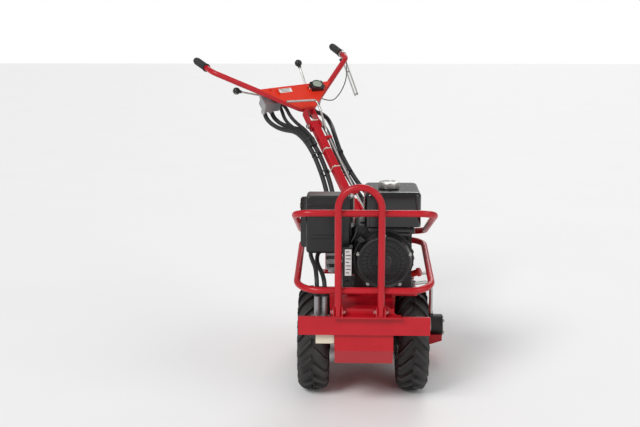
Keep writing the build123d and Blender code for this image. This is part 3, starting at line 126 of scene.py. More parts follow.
# --------------------------------------------------------------- materials
class Value:
    """A socket that takes part in Python arithmetic by adding Math nodes."""

    def __init__(self, shader: "Shader", socket: bpy.types.NodeSocket) -> None:
        """Wraps one output socket of a shader."""
        self.shader = shader
        self.socket = socket

    def maths(self, operation: str, *values: object) -> "Value":
        """The result of one Math node.

        Args:
            operation: The node's operation.
            values: Its inputs in order, as numbers or Values.

        Returns:
            The node's output.
        """
        return self.shader.node("ShaderNodeMath", {"operation": operation}, dict(enumerate(values)))

    def __add__(self, other: object) -> "Value":
        """self + other."""
        return self.maths("ADD", self, other)

    def __mul__(self, other: object) -> "Value":
        """self * other."""
        return self.maths("MULTIPLY", self, other)

    __radd__ = __add__
    __rmul__ = __mul__


class Shader:
    """A material and the one method that adds nodes to it."""

    def __init__(self, name: str) -> None:
        """Starts an empty node material."""
        self.material = bpy.data.materials.new(name)
        self.material.use_nodes = True
        self.material.node_tree.nodes.clear()

    def node(
        self, kind: str, settings: dict | None = None, inputs: dict | None = None, out: object = 0,
    ) -> Value:
        """Adds a node.

        Args:
            kind: The node's type.
            settings: Properties to set first, and a ramp's stops as "stops".
            inputs: Values or links of its sockets, by name or index.
            out: The output that is returned.

        Returns:
            The chosen output.
        """
        made = self.material.node_tree.nodes.new(kind)
        for key, value in (settings or {}).items():
            if key == "stops":
                ramp = made.color_ramp.elements
                ramp[0].position, ramp[0].color = value[0]
                ramp[1].position, ramp[1].color = value[-1]
                for place, colour in value[1:-1]:
                    ramp.new(place).color = colour
            else:
                setattr(made, key, value)
        for key, value in (inputs or {}).items():
            if isinstance(value, Value):
                self.material.node_tree.links.new(value.socket, made.inputs[key])
            else:
                made.inputs[key].default_value = value
        return Value(self, made.outputs[out]) if made.outputs else None

    def ramp(self, source: Value, low: float, high: float) -> Value:
        """source, from 0 at low to 1 at high."""
        limits = {"From Min": low, "From Max": high, "Value": source}
        return self.node("ShaderNodeMapRange", {"clamp": True}, limits)

    def blend(self, share: Value, first: Sequence[float], second: Sequence[float]) -> Value:
        """A colour between two colours."""
        return self.node(
            "ShaderNodeMix", {"data_type": "RGBA"}, {0: share, 6: (*first, 1), 7: (*second, 1)}, 2,
        )

    def noise(
        self, place: Value, scale: float, detail: float = 3.0, stretch: Sequence[float] = (1, 1, 1),
    ) -> Value:
        """Noise on a place vector, stretched along its axes."""
        if tuple(stretch) != (1, 1, 1):
            place = self.node(
                "ShaderNodeMapping", {"vector_type": "POINT"}, {"Vector": place, "Scale": stretch},
            )
        return self.node("ShaderNodeTexNoise", {}, {"Vector": place, "Scale": scale, "Detail": detail})


class Surface(Enum):
    """The make of a surface, which sets its relief."""

    PAINT = "paint"
    MOULDED = "moulded"
    RUBBER = "rubber"
    CAST = "cast"
    METAL = "metal"
    LABEL = "label"


@dataclass(frozen=True)
class Finish:
    """One finish: its colour, its second colour where it is worn or dusty, and its relief."""

    name: str
    slot: str
    surface: Surface
    colour: tuple[float, float, float]
    shade: tuple[float, float, float]
    roughness: float
    metallic: float = 0.0
    coat: float = 0.0
    grain: float = 400.0
    relief: float = 0.15
    gloss: float = 0.5
    stretch: tuple[float, float, float] = (1, 1, 1)

    def build(self) -> bpy.types.Material:
        """The finish as a node material."""
        shader = Shader(self.name)
        place = shader.node("ShaderNodeTexCoord", out="Object")
        broad = shader.noise(place, 9.0, 4.0)
        fine = shader.noise(place, self.grain, 2.0, self.stretch)
        mottle = shader.ramp(broad * 0.6 + fine * 0.4, 0.38, 0.66)
        height = fine
        if self.surface is Surface.CAST:
            cells = shader.node("ShaderNodeTexVoronoi", {}, {"Vector": place, "Scale": self.grain * 1.4})
            height = fine + cells * 0.7
        if self.surface is Surface.RUBBER:
            height = fine + shader.noise(place, self.grain * 0.12, 3.0) * 0.8
        bump = shader.node(
            "ShaderNodeBump", {}, {"Height": height, "Strength": self.relief, "Distance": 0.0006}
        )
        rough = shader.ramp(mottle, -2.0, 3.0) * 0.25 + (self.roughness - 0.125)
        inputs = {
            "Base Color": shader.blend(mottle, self.colour, self.shade),
            "Roughness": rough,
            "Metallic": self.metallic,
            "Coat Weight": self.coat,
            "Coat Roughness": 0.12,
            "Specular IOR Level": self.gloss,
            "Normal": bump,
        }
        body = shader.node("ShaderNodeBsdfPrincipled", {}, inputs)
        shader.node("ShaderNodeOutputMaterial", {}, {"Surface": body})
        return shader.material


RED = Finish(
    "red_enamel", "red_paint", Surface.PAINT, (0.50, 0.005, 0.014), (0.43, 0.003, 0.011), 0.36, coat=0.12,
    gloss=0.35,
)
PANEL_RED = Finish(
    "panel_enamel", "red_paint", Surface.PAINT, (0.74, 0.032, 0.009), (0.65, 0.024, 0.008),
    0.40, coat=0.12, gloss=0.4,
)
BLACK_PLASTIC = Finish(
    "black_moulding", "black_plastic", Surface.MOULDED, (
        0.006, 0.006, 0.0065,
    ), (0.011, 0.011, 0.0115), 0.36, coat=0.15, grain=1500, relief=0.3
)
TANK_BLACK = Finish(
    "tank_enamel", "tank_black", Surface.PAINT, (
        0.005, 0.005, 0.0055,
    ), (0.009, 0.009, 0.0095), 0.20, coat=0.35
)
HOSE = Finish(
    "hose_rubber", "rubber_hose", Surface.RUBBER, (0.012, 0.012, 0.013), (0.026, 0.026, 0.027), 0.55,
    grain=900, relief=0.4,
)
GRIP = Finish(
    "grip_rubber", "grip_rubber", Surface.RUBBER, (0.014, 0.014, 0.015), (0.024, 0.024, 0.025), 0.62,
    grain=1200, relief=0.4,
)
TYRE = Finish(
    "tyre_rubber", "tyre_rubber", Surface.RUBBER, (0.020, 0.019, 0.019), (0.046, 0.044, 0.042), 0.68,
    grain=700, relief=0.5,
)
RIM = Finish(
    "rim_enamel", "rim_paint", Surface.PAINT, (0.72, 0.71, 0.68), (0.60, 0.59, 0.56), 0.42, coat=0.2,
)
IRON = Finish(
    "painted_casting", "cast_iron", Surface.CAST, (0.022, 0.022, 0.024), (0.045, 0.044, 0.043), 0.5,
    metallic=0.2, grain=500, relief=0.5,
)
ALUMINIUM = Finish(
    "die_cast_alloy", "cast_aluminium", Surface.CAST, (0.42, 0.42, 0.43), (0.30, 0.30, 0.31), 0.42,
    metallic=0.85, grain=700, relief=0.3,
)
ZINC = Finish(
    "zinc_plate", "zinc_steel", Surface.METAL, (0.52, 0.52, 0.50), (0.42, 0.41, 0.39), 0.34, metallic=1.0,
    grain=300, relief=0.1,
)
TINE = Finish(
    "tine_steel", "tine_steel", Surface.CAST, (0.055, 0.050, 0.046), (0.13, 0.11, 0.09), 0.48, metallic=0.6,
    grain=260, relief=0.4,
)
MUFFLER = Finish(
    "muffler_steel", "muffler_steel", Surface.METAL, (0.20, 0.19, 0.18), (0.30, 0.28, 0.25), 0.4,
    metallic=0.9, grain=220, relief=0.2,
)
CABLE = Finish(
    "cable_jacket", "cable_black", Surface.RUBBER, (0.10, 0.10, 0.105), (0.14, 0.14, 0.145), 0.5, grain=900,
    relief=0.2,
)
LABEL = Finish("label_film", "", Surface.LABEL, (0.82, 0.82, 0.80), (0.76, 0.76, 0.74), 0.4, relief=0.03)
CREAM = Finish("cream_film", "", Surface.LABEL, (0.72, 0.66, 0.52), (0.66, 0.60, 0.47), 0.45, relief=0.03)
LENS = Finish(
    "gauge_lens", "black_plastic", Surface.LABEL, (0.36, 0.42, 0.34), (0.28, 0.33, 0.27), 0.12, coat=1.0,
    relief=0.0,
)
TIE = Finish(
    "tie_nylon", "", Surface.MOULDED, (0.62, 0.58, 0.50), (0.55, 0.51, 0.44), 0.5, grain=900, relief=0.1,
)
RED_KNOB = Finish(
    "red_moulding", "red_paint", Surface.MOULDED, (0.62, 0.014, 0.014), (0.5, 0.01, 0.01), 0.35, grain=1200,
    relief=0.15,
)

_built: dict[str, bpy.types.Material] = {}


def material_of(finish: Finish) -> bpy.types.Material:
    """The material of a finish, built once."""
    if finish.name not in _built:
        _built[finish.name] = finish.build()
    return _built[finish.name]


# ------------------------------------------------------------------ shapes
def facing(place: Vector, axis: Vector) -> Matrix:
    """A matrix whose z runs along axis from place."""
    return Matrix.Translation(place) @ axis.to_track_quat("Z", "Y").to_matrix().to_4x4()


class Shape:
    """A mesh under construction, made of closed bodies."""

    LEAST_CORNER = 0.002

    def __init__(self) -> None:
        """Starts an empty mesh."""
        self.mesh = bmesh.new()

    def soften(self, verts: list, width: float, segments: int = 2, angle: float = 0.5) -> None:
        """Bevels the edges between verts that turn by more than angle."""
        chosen = set(verts)
        edges = [
            edge
            for vert in verts
            for edge in vert.link_edges
            if edge.other_vert(vert) in chosen and edge.is_manifold and edge.calc_face_angle(0) > angle
        ]
        bmesh.ops.bevel(
            self.mesh, geom=list(dict.fromkeys(edges)), offset=width, segments=segments,
            profile=0.5, affect="EDGES", material=-1, clamp_overlap=True,
        )

    def block(
        self, place: Vector | Matrix, size: Sequence[float], bevel: float = 0.0, segments: int = 2,
    ) -> "Shape":
        """A box with rounded edges.

        Args:
            place: Its centre, or a matrix at its centre.
            size: Its sides in metres.
            bevel: The radius of its edges.
            segments: The steps of each rounded edge.

        Returns:
            The shape itself.
        """
        base = place if isinstance(place, Matrix) else Matrix.Translation(place)
        matrix = base @ Matrix.Diagonal((*size, 1))
        made = bmesh.ops.create_cube(self.mesh, size=1.0, matrix=matrix)["verts"]
        if bevel:
            self.soften(made, bevel, segments)
        return self

    def rod(
        self, start: Vector, end: Vector, radius: float, sides: int = 24, bevel: float = 0.0,
        tip: float | None = None,
    ) -> "Shape":
        """A round or many-sided rod from start to end, with an end radius of tip."""
        run = end - start
        matrix = facing((start + end) / 2, run)
        top = radius if tip is None else tip
        made = bmesh.ops.create_cone(
            self.mesh, cap_ends=True, segments=sides, radius1=radius, radius2=top,
            depth=run.length, matrix=matrix,
        )["verts"]
        if bevel:
            self.soften(made, bevel, 2, 0.9)
        return self

    def turned(
        self, place: Vector, axis: Vector, profile: Sequence[tuple[float, float]], sides: int = 40,
    ) -> "Shape":
        """A body of revolution.

        Args:
            place: The point that heights are measured from.
            axis: The direction of height.
            profile: Pairs of radius and height in metres, closed on the axis or on themselves.
            sides: The steps of the full turn.

        Returns:
            The shape itself.
        """
        points = [self.mesh.verts.new((radius, 0, height)) for radius, height in profile]
        line = [self.mesh.edges.new(pair) for pair in zip(points, points[1:])]
        spun = bmesh.ops.spin(
            self.mesh, geom=points + line, cent=(0, 0, 0), axis=(0, 0, 1), dvec=(0, 0, 0),
            angle=math.tau, steps=sides, use_merge=True, use_duplicate=False,
        )
        seen = {item for item in spun["geom_last"] if isinstance(item, bmesh.types.BMVert)} | set(points)
        front = list(seen)
        while front:
            vert = front.pop()
            for edge in vert.link_edges:
                other = edge.other_vert(vert)
                if other not in seen:
                    seen.add(other)
                    front.append(other)
        verts = list(seen)
        bmesh.ops.remove_doubles(self.mesh, verts=verts, dist=CLOSE)
        verts = [vert for vert in verts if vert.is_valid]
        bmesh.ops.transform(self.mesh, matrix=facing(place, axis), verts=verts)
        return self

    def round_corners(self, along: int, radius: float, segments: int = 5) -> None:
        """Rounds the four corners of a single box whose edges run along one axis."""
        edges = [
            edge for edge in self.mesh.edges
            if abs(edge.verts[0].co[along] - edge.verts[1].co[along]) > self.LEAST_CORNER
        ]
        bmesh.ops.bevel(
            self.mesh, geom=edges, offset=radius, segments=segments, profile=0.5, affect="EDGES", material=-1
        )

    def bolt(self, place: Vector, axis: Vector, across: float = 0.013, proud: float = 0.006) -> "Shape":
        """A washer, a hexagon head and the crown of its chamfer, seated at place."""
        axis = axis.normalized()
        washer, head = across * 0.78, across / math.sqrt(3)
        sunk = place - axis * MM * 0.4
        self.rod(sunk, place + axis * 0.0016, washer, 28)
        seat, top = place + axis * 0.0014, place + axis * (0.0014 + proud)
        self.rod(seat, top, head, 6, 0.0007)
        self.rod(top - axis * MM * 0.3, top + axis * 0.0006, head * 0.72, 20, tip=head * 0.62)
        return self

    def spring(self, start: Vector, end: Vector, radius: float, wire: float, turns: int) -> "Shape":
        """A coil spring from start to end."""
        ring = bmesh.ops.create_circle(
            self.mesh, segments=8, radius=wire, cap_ends=False,
            matrix=Matrix.Translation((radius, 0, 0)) @ Matrix.Rotation(math.pi / 2, 4, "X"),
        )["verts"]
        loop = list({edge for vert in ring for edge in vert.link_edges})
        length = (end - start).length
        steps = turns * 14
        bmesh.ops.spin(
            self.mesh, geom=ring + loop, cent=(0, 0, 0), axis=(0, 0, 1), dvec=(0, 0, length / steps),
            angle=math.tau * turns, steps=steps, use_merge=False, use_duplicate=False,
        )
        grown = [vert for vert in self.mesh.verts if not vert.tag]
        ends = {edge for vert in grown for edge in vert.link_edges if edge.is_boundary}
        bmesh.ops.holes_fill(self.mesh, edges=list(ends))
        bmesh.ops.transform(self.mesh, matrix=facing(start, end - start), verts=grown)
        return self

    def repeat(self, source: "Shape", matrices: Sequence[Matrix]) -> "Shape":
        """Adds copies of another shape, one for each matrix."""
        held = bpy.data.meshes.new("held")
        source.mesh.to_mesh(held)
        for matrix in matrices:
            copy = held.copy()
            copy.transform(matrix)
            self.mesh.from_mesh(copy)
            bpy.data.meshes.remove(copy)
        bpy.data.meshes.remove(held)
        return self

    def piece(self, name: str, finish: Finish, body: str | None) -> bpy.types.Object:
        """Makes the finished object.

        Args:
            name: The piece's name.
            finish: Its finish.
            body: The CAD body that it rides on, or None to leave it without a parent.

        Returns:
            The object, at the origin with its place in its mesh.
        """
        bmesh.ops.recalc_face_normals(self.mesh, faces=self.mesh.faces)
        for face in self.mesh.faces:
            face.smooth = True
        for edge in self.mesh.edges:
            edge.smooth = edge.is_manifold and edge.calc_face_angle(0) < SHARP
        data = bpy.data.meshes.new(name)
        self.mesh.to_mesh(data)
        self.mesh.free()
        made = bpy.data.objects.new(name, data)
        bpy.context.scene.collection.objects.link(made)
        data.materials.append(material_of(finish))
        if body:
            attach(made, body)
        LOG.info("%s: %d faces on %s", name, len(data.polygons), body)
        return made


def route_curve(name: str, points: Sequence[Vector], radius: float) -> bpy.types.Object:
    """A smooth curve whose control points are the route's points."""
    data = bpy.data.curves.new(name, "CURVE")
    data.dimensions = "3D"
    data.resolution_u = 10
    data.bevel_depth = radius
    data.bevel_resolution = 5
    data.use_fill_caps = True
    spline = data.splines.new("NURBS")
    spline.points.add(len(points) - 1)
    for control, point in zip(spline.points, points):
        control.co = (*point, 1)
    spline.order_u = 3
    spline.use_endpoint_u = True
    return bpy.data.objects.new(name + "_line", data)


def line_of(points: Sequence[Vector]) -> list[Vector]:
    """The points along the smooth line of a route."""
    curve = route_curve("line", points, 0.0)
    mesh = bpy.data.meshes.new_from_object(curve)
    found = [vert.co.copy() for vert in mesh.vertices]
    bpy.data.meshes.remove(mesh)
    bpy.data.objects.remove(curve)
    return found


def length_of(path: Sequence[Vector]) -> float:
    """The length of a path."""
    return sum((b - a).length for a, b in zip(path, path[1:]))


def hose_piece(
    name: str, points: Sequence[Vector], radius: float, finish: Finish,
) -> tuple[bpy.types.Object, list[Vector]]:
    """A round hose along a route.

    Args:
        name: The piece's name.
        points: The route's points.
        radius: The hose's radius in metres.
        finish: Its finish.

    Returns:
        The mesh object with no parent, and the line that it follows.
    """
    curve = route_curve(name, points, radius)
    bpy.context.scene.collection.objects.link(curve)
    bpy.context.view_layer.update()
    data = bpy.data.meshes.new_from_object(curve.evaluated_get(bpy.context.evaluated_depsgraph_get()))
    data.name = name
    bpy.data.objects.remove(curve)
    for face in data.polygons:
        face.use_smooth = True
    data.materials.clear()
    data.materials.append(material_of(finish))
    made = bpy.data.objects.new(name, data)
    bpy.context.scene.collection.objects.link(made)
    LOG.info("%s: hose of %d faces", name, len(data.polygons))
    return made, line_of(points)


def declare_hose(line: Sequence[Vector]) -> None:
    """Measures the length of a hose's or lead's line, and keeps no result."""
    length_of(line)


# -------------------------------------------------------------- assemblies
NODE_FINISHES: dict[Finish, tuple[str, ...]] = {
    RED: (
        "chassis_frame", "front_bar", "engine_plate", "upper_guard", "lower_guard", "front_hoop",
        "hoop_bracket", "tine_hood", "motor_guard", "rear_flap", "stake_arm", "swing_mast",
        "pivot_head", "neck_tube", "fork", "handlebar",
    ),
    PANEL_RED: ("panel",),
    BLACK_PLASTIC: (
        "air_cleaner", "air_cleaner_knob", "blower_housing", "recoil_cover", "control_panel", "engine_switch",
        "recoil_handle", "hour_meter", "tank_cap", "throttle_lever", "choke_lever",
    ),
    TANK_BLACK: ("fuel_tank",),
    HOSE: ("hoses_left", "hoses_right", "drive_hoses"),
    GRIP: ("grips",),
    TYRE: ("tyre_left", "tyre_right"),
    RIM: ("rim_left", "rim_right"),
    IRON: ("wheel_motors", "hub_left", "hub_right", "tine_motor", "crankshaft", "engine_block"),
    ALUMINIUM: ("pump", "carburettor", "drive_block", "valve_left", "valve_right"),
    ZINC: (
        "depth_stake", "tine_shaft", "presence_clamp", "presence_lever", "fuel_cap", "motor_lines",
        "drive_lever", "tine_lever", "lock_rod",
    ),
    TINE: ("tines",),
    MUFFLER: ("muffler",),
    CABLE: ("presence_cable",),
}


def dress_nodes() -> None:
    """Gives every carried-over CAD node its material."""
    for finish, nodes in NODE_FINISHES.items():
        for node in nodes:
            data = frame["nodes"][node].data
            data.materials.clear()
            data.materials.append(material_of(finish))


@dataclass
class Wheel:
    """A lugged pneumatic tyre and the fastenings of its rim."""

    side: str
    radius: float = 0.200
    width: float = 0.115
    bead: float = 0.1016
    lug_height: float = 0.015
    lugs: int = 19

    @property
    def centre(self) -> Vector:
        """The middle of the wheel."""
        return joint_place(f"wheel_{self.side}_spin")

    def carcass_radius(self, across: float) -> float:
        """The carcass's radius at a distance across from its middle plane."""
        share = min(abs(across) / (self.width / 2 * 0.97), 1.0)
        return self.radius - self.lug_height - 0.006 * share**2 - 0.016 * share**8

    def carcass(self, shape: Shape) -> None:
        """The closed casing, from bead to bead and back along its inside."""
        half = self.width / 2
        steps = 14
        outer = [
            (self.carcass_radius(half * 0.97 * (2 * i / steps - 1)), half * 0.97 * (2 * i / steps - 1))
            for i in range(steps + 1)
        ]
        left = [
            (self.bead, -0.044), (0.108, -0.050), (0.114, -0.049), (0.124, -0.052), (0.146, -0.0566),
            (0.163, -0.0572),
        ]
        right = [(radius, -height) for radius, height in reversed(left)]
        inner = [
            (0.112, 0.036), (0.150, 0.043), (0.172, 0.034), (0.174, 0.0), (0.172, -0.034), (0.150, -0.043),
            (0.112, -0.036),
        ]
        loop = left + outer + right + [(self.bead, 0.036)] + inner + [(self.bead, -0.036), left[0]]
        shape.turned(self.centre, RIGHT, loop, 96)

    def lug(self, side: int) -> Shape:
        """One curved lug on one half of the tread, at the top of the wheel, about the origin.

        Args:
            side: -1 or 1 for the half that it lies on.

        Returns:
            The lug.
        """
        lug = Shape()
        bmesh.ops.create_cube(lug.mesh, size=1.0)
        edges = [edge for edge in lug.mesh.edges if abs(edge.verts[0].co.x - edge.verts[1].co.x) > 0.5]
        bmesh.ops.subdivide_edges(lug.mesh, edges=edges, cuts=5)
        for vert in lug.mesh.verts:
            share = vert.co.x + 0.5
            across = side * (0.004 + share * (self.width / 2 - 0.004))
            raised = vert.co.z > 0
            base = self.carcass_radius(across)
            height = base + (self.lug_height * (0.91 - 0.06 * share) if raised else -0.004)
            if share > 0.99:
                height = height - 0.002 if raised else base - 0.030
            slope = 0.052 * share + 0.012 * share**2
            width = (0.013 + 0.007 * share) * (1.0 if raised else 1.45)
            angle = (slope + vert.co.y * width) / self.radius
            vert.co = Vector((across, -math.sin(angle) * height, math.cos(angle) * height))
        lug.soften(list(lug.mesh.verts), 0.0014, 2, 0.7)
        return lug

    def build(self) -> None:
        """Makes the tyre, its lug nuts and its valve."""
        shape = Shape()
        self.carcass(shape)
        for side, offset in ((-1, 0.0), (1, 0.5)):
            turns = [
                Matrix.Translation(self.centre) @ Matrix.Rotation(
                    math.tau * (i + offset) / self.lugs, 4, "X",
                )
                for i in range(self.lugs)
            ]
            shape.repeat(self.lug(side), turns)
        tyre = shape.piece(f"lugged_tyre_{self.side}", TYRE, f"wheel_{self.side}")
        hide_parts(f"tyre_{self.side}")
        self.fastenings()

    def fastenings(self) -> None:
        """The rim's nuts and the tyre's valve."""
        out = Vector((-1 if self.side == "left" else 1, 0, 0))
        low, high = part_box(f"hub_{self.side}")
        face = low.x if self.side == "left" else high.x
        nuts = Shape()
        for i in range(4):
            turn = math.tau * (i + 0.5) / 4
            reach = Vector((0, math.cos(turn), math.sin(turn))) * 0.035
            nuts.bolt(Vector((face, self.centre.y, self.centre.z)) + reach - out * 0.020, out, 0.014, 0.008)
        nuts.piece(f"wheel_nuts_{self.side}", ZINC, f"wheel_{self.side}")
        valve = Shape()
        foot = self.centre + out * 0.012 + Vector((0, 0.062, 0.062))
        valve.rod(foot, foot + out * 0.026, 0.0052, 20, 0.001, 0.0045)
        valve.rod(foot + out * 0.026, foot + out * 0.036, 0.0036, 20, 0.0008)
        valve.piece(f"tyre_valve_{self.side}", GRIP, f"wheel_{self.side}")


@dataclass
class Engine:
    """The trim of the petrol engine: grille, screws, label, cap, ribs and leads."""

    fan_blades: int = 30
    cap_ridges: int = 28
    knob_ribs: int = 9
    shroud_rib_count: int = 11

    def build(self) -> None:
        """Makes each group of trim."""
        self.grille()
        self.screws()
        self.tank_trim()
        self.cleaner_trim()
        self.labels()
        self.fins()
        self.leads()
        self.muffler_guard()
        self.shroud_trim()
        self.side_fittings()

    def cover_front(self) -> Vector:
        """The middle of the recoil cover's front face."""
        low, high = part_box("recoil_cover")
        return Vector(((low.x + high.x) / 2, low.y, (low.z + high.z) / 2))

    def grille(self) -> None:
        """The recoil cover's dished grille: radial bars, rings and a hub."""
        middle = self.cover_front()
        shape = Shape()
        for inner, outer, proud in ((0.078, 0.083, 0.004), (0.060, 0.0635, 0.0035), (0.043, 0.046, 0.003)):
            shape.turned(
                middle, FRONT,
                [
                    (inner, -0.002), (outer, -0.002), (outer, proud * 0.6), (outer - 0.001, proud),
                    (inner + 0.001, proud), (inner, proud * 0.6), (inner, -0.002),
                ],
                64,
            )
        for i in range(self.fan_blades):
            turn = math.tau * i / self.fan_blades
            ray = Vector((math.cos(turn), 0, math.sin(turn)))
            lean = Vector((math.cos(turn + 0.35), 0, math.sin(turn + 0.35)))
            start, end = middle + ray * 0.031, middle + lean * 0.081
            blade = facing((start + end) / 2, end - start)
            side = blade.to_3x3() @ Vector((1, 0, 0))
            if abs(side.y) > 0.5:
                size = (0.006, 0.0028, (end - start).length)
            else:
                size = (0.0028, 0.006, (end - start).length)
            shape.block(blade, size, 0.0006, 1)
        shape.turned(
            middle, FRONT,
            [(0, 0.006), (0.020, 0.006), (0.027, 0.004), (0.031, 0.001), (0.031, -0.002), (0, -0.002)], 48,
        )
        shape.piece("recoil_grille", BLACK_PLASTIC, "chassis")
        ring = Shape()
        ring.turned(
            middle, FRONT,
            [
                (0.086, -0.003), (0.093, -0.003), (0.0925, 0.0), (0.089, 0.0022), (0.086, 0.0),
                (0.086, -0.003),
            ],
            72,
        )
        ring.piece("recoil_rim", IRON, "chassis")

    def screws(self) -> None:
        """Bright screws round the recoil cover."""
        middle = self.cover_front()
        shape = Shape()
        for turn in (18, 90, 162, 234, 306):
            ray = Vector((math.cos(math.radians(turn)), 0, math.sin(math.radians(turn))))
            foot = middle + ray * 0.097 + Vector((0, 0.018, 0))
            shape.rod(foot, foot + FRONT * 0.014, 0.0068, 24, 0.001)
            shape.bolt(foot + FRONT * 0.0135, FRONT, 0.009, 0.004)
        shape.piece("recoil_screws", ZINC, "chassis")

    def tank_trim(self) -> None:
        """The tank's rolled seam and its ridged filler cap."""
        low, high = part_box("fuel_tank")
        centre = (low + high) / 2
        seam_z = low.z + 0.052
        seam = Shape()
        seam.block(
            Vector((centre.x, centre.y, seam_z)), (high.x - low.x + 0.006, high.y - low.y + 0.006, 0.004),
        )
        seam.round_corners(2, 0.020, 6)
        seam.piece("tank_seam", TANK_BLACK, "chassis")
        cap_low, cap_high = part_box("fuel_cap")
        middle = (cap_low + cap_high) / 2
        radius = (cap_high.x - cap_low.x) / 2
        height = cap_high.z - cap_low.z
        cap = Shape()
        foot = Vector((middle.x, middle.y, cap_low.z))
        cap.turned(
            foot, UP,
            [
                (0, 0.0005), (radius * 0.90, 0.0005), (radius * 0.94, 0.003),
                (radius * 0.95, height * 0.72), (radius * 0.90, height * 0.9),
                (radius * 0.74, height * 0.97), (radius * 0.60, height * 0.99),
                (radius * 0.56, height * 0.90), (0, height * 0.90),
            ],
            64,
        )
        ridge = Shape()
        ridge.block(Vector((radius * 0.955, 0, height * 0.40)), (0.0036, 0.0042, height * 0.62), 0.001, 1)
        turns = [
            Matrix.Translation(foot) @ Matrix.Rotation(math.tau * i / self.cap_ridges, 4, "Z")
            for i in range(self.cap_ridges)
        ]
        cap.repeat(ridge, turns)
        made = cap.piece("tank_filler_cap", ZINC, "fuel_lid")
        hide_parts("fuel_cap")

    def cleaner_trim(self) -> None:
        """The air cleaner's cover: a pressed rib, a parting seam, a screw and ribs on its knob."""
        low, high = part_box("air_cleaner")
        width, height = high.x - low.x, high.z - low.z
        front = low.y
        shape = Shape()
        middle = Vector((low.x + width / 2, front + 0.002, low.z + height * 0.56))
        upright = Matrix.Translation(middle) @ Matrix.Rotation(math.pi / 2, 4, "X")
        for share, proud in ((0.74, 0.004), (0.58, 0.0065)):
            plate = Shape()
            plate.block(Matrix.Identity(4), (width * share, height * share * 0.82, proud * 2))
            plate.round_corners(2, 0.016)
            plate.soften([v for v in plate.mesh.verts if v.co.z > 0], 0.002, 3, 0.9)
            shape.repeat(plate, [upright])
        shape.piece("air_cleaner_cover", BLACK_PLASTIC, "chassis")
        seam = Shape()
        seam.block(
            Vector((low.x + width / 2, front + 0.052, low.z + height * 0.5)),
            (width + 0.004, 0.0045, height + 0.004 - 0.03),
        )
        seam.round_corners(1, 0.012)
        seam.piece("air_cleaner_seam", TANK_BLACK, "chassis")
        knob_low, knob_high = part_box("air_cleaner_knob")
        hub = (knob_low + knob_high) / 2
        knob = Shape()
        reach = (knob_high.z - knob_low.z) / 2
        knob.turned(
            Vector((knob_high.x, hub.y, hub.z)), -RIGHT,
            [
                (0, 0.0003), (reach * 0.62, 0.0003), (reach * 0.66, 0.004), (reach * 0.80, 0.007),
                (reach * 0.86, 0.010), (reach * 0.84, 0.021), (reach * 0.70, 0.0235), (0, 0.0235),
            ],
            40,
        )
        rib = Shape()
        rib.block(Vector((0, 0, reach * 0.84)), (0.012, 0.0042, 0.005), 0.0012, 2)
        at_ribs = Matrix.Translation(Vector((knob_high.x - 0.0150, hub.y, hub.z)))
        turns = [
            at_ribs @ Matrix.Rotation(math.tau * i / self.knob_ribs, 4, "X")
            for i in range(self.knob_ribs)
        ]
        knob.repeat(rib, turns)
        made = knob.piece("cleaner_cover_knob", BLACK_PLASTIC, "cleaner_knob")
        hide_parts("air_cleaner_knob")
        bolt = Shape()
        bolt.bolt(Vector((high.x - 0.012, front, low.z + 0.016)), FRONT, 0.010, 0.004)
        bolt.piece("air_cleaner_screw", ZINC, "chassis")

    def labels(self) -> None:
        """A plain label on the control panel, with plain bars."""
        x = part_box("control_panel")[0].x + 0.021
        label = Shape()
        face = BASE.at(0, -202, 0).y
        spot = Matrix.Translation(Vector((x, face - 0.0004, BASE.at(0, 0, 548).z)))
        label.block(spot @ Matrix.Rotation(math.pi / 2, 4, "X"), (0.024, 0.098, 0.0016), 0.0005, 1)
        label.piece("control_label", LABEL, "chassis")
        lines = Shape()
        for i in range(7):
            z = BASE.at(0, 0, 588 - 13 * i).z
            width = 0.018 if i % 3 else 0.012
            lines.block(Vector((x - (0.018 - width) / 2, face - 0.0013, z)), (width, 0.0006, 0.0028))
        lines.piece("control_label_marks", BLACK_PLASTIC, "chassis")

    def fins(self) -> None:
        """Ribs on the side of the crankcase."""
        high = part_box("engine_block")[1]
        shape = Shape()
        for i in range(9):
            z = BASE.at(0, 0, 470 + 20 * i).z
            shape.block(Vector((high.x - 0.055, BASE.at(0, -20, 0).y, z)), (0.020, 0.176, 0.0035), 0.001, 1)
        shape.piece("crankcase_ribs", ALUMINIUM, "chassis")

    def leads(self) -> None:
        """The spark lead, the fuel line and the throttle cable."""
        routes = {
            "fuel_line": (
                [(-20, -110, 672), (-26, -128, 640), (-52, -138, 600), (-84, -134, 566), (-104, -128, 548)],
                0.0038, HOSE,
            ),
            "throttle_wire": (
                [(-42, -150, 592), (-58, -152, 578), (-78, -156, 540), (-92, -156, 524)], 0.0018, ZINC,
            ),
            "spark_lead": (
                [(60, -112, 650), (20, -100, 684), (-24, -60, 660), (-60, -20, 620), (-120, 10, 590)],
                0.0042, HOSE,
            ),
        }
        for name, (points, radius, finish) in routes.items():
            path = [BASE.at(*point) for point in points]
            made, line = hose_piece(name, path, radius, finish)
            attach(made, "chassis")
            declare_hose(line)

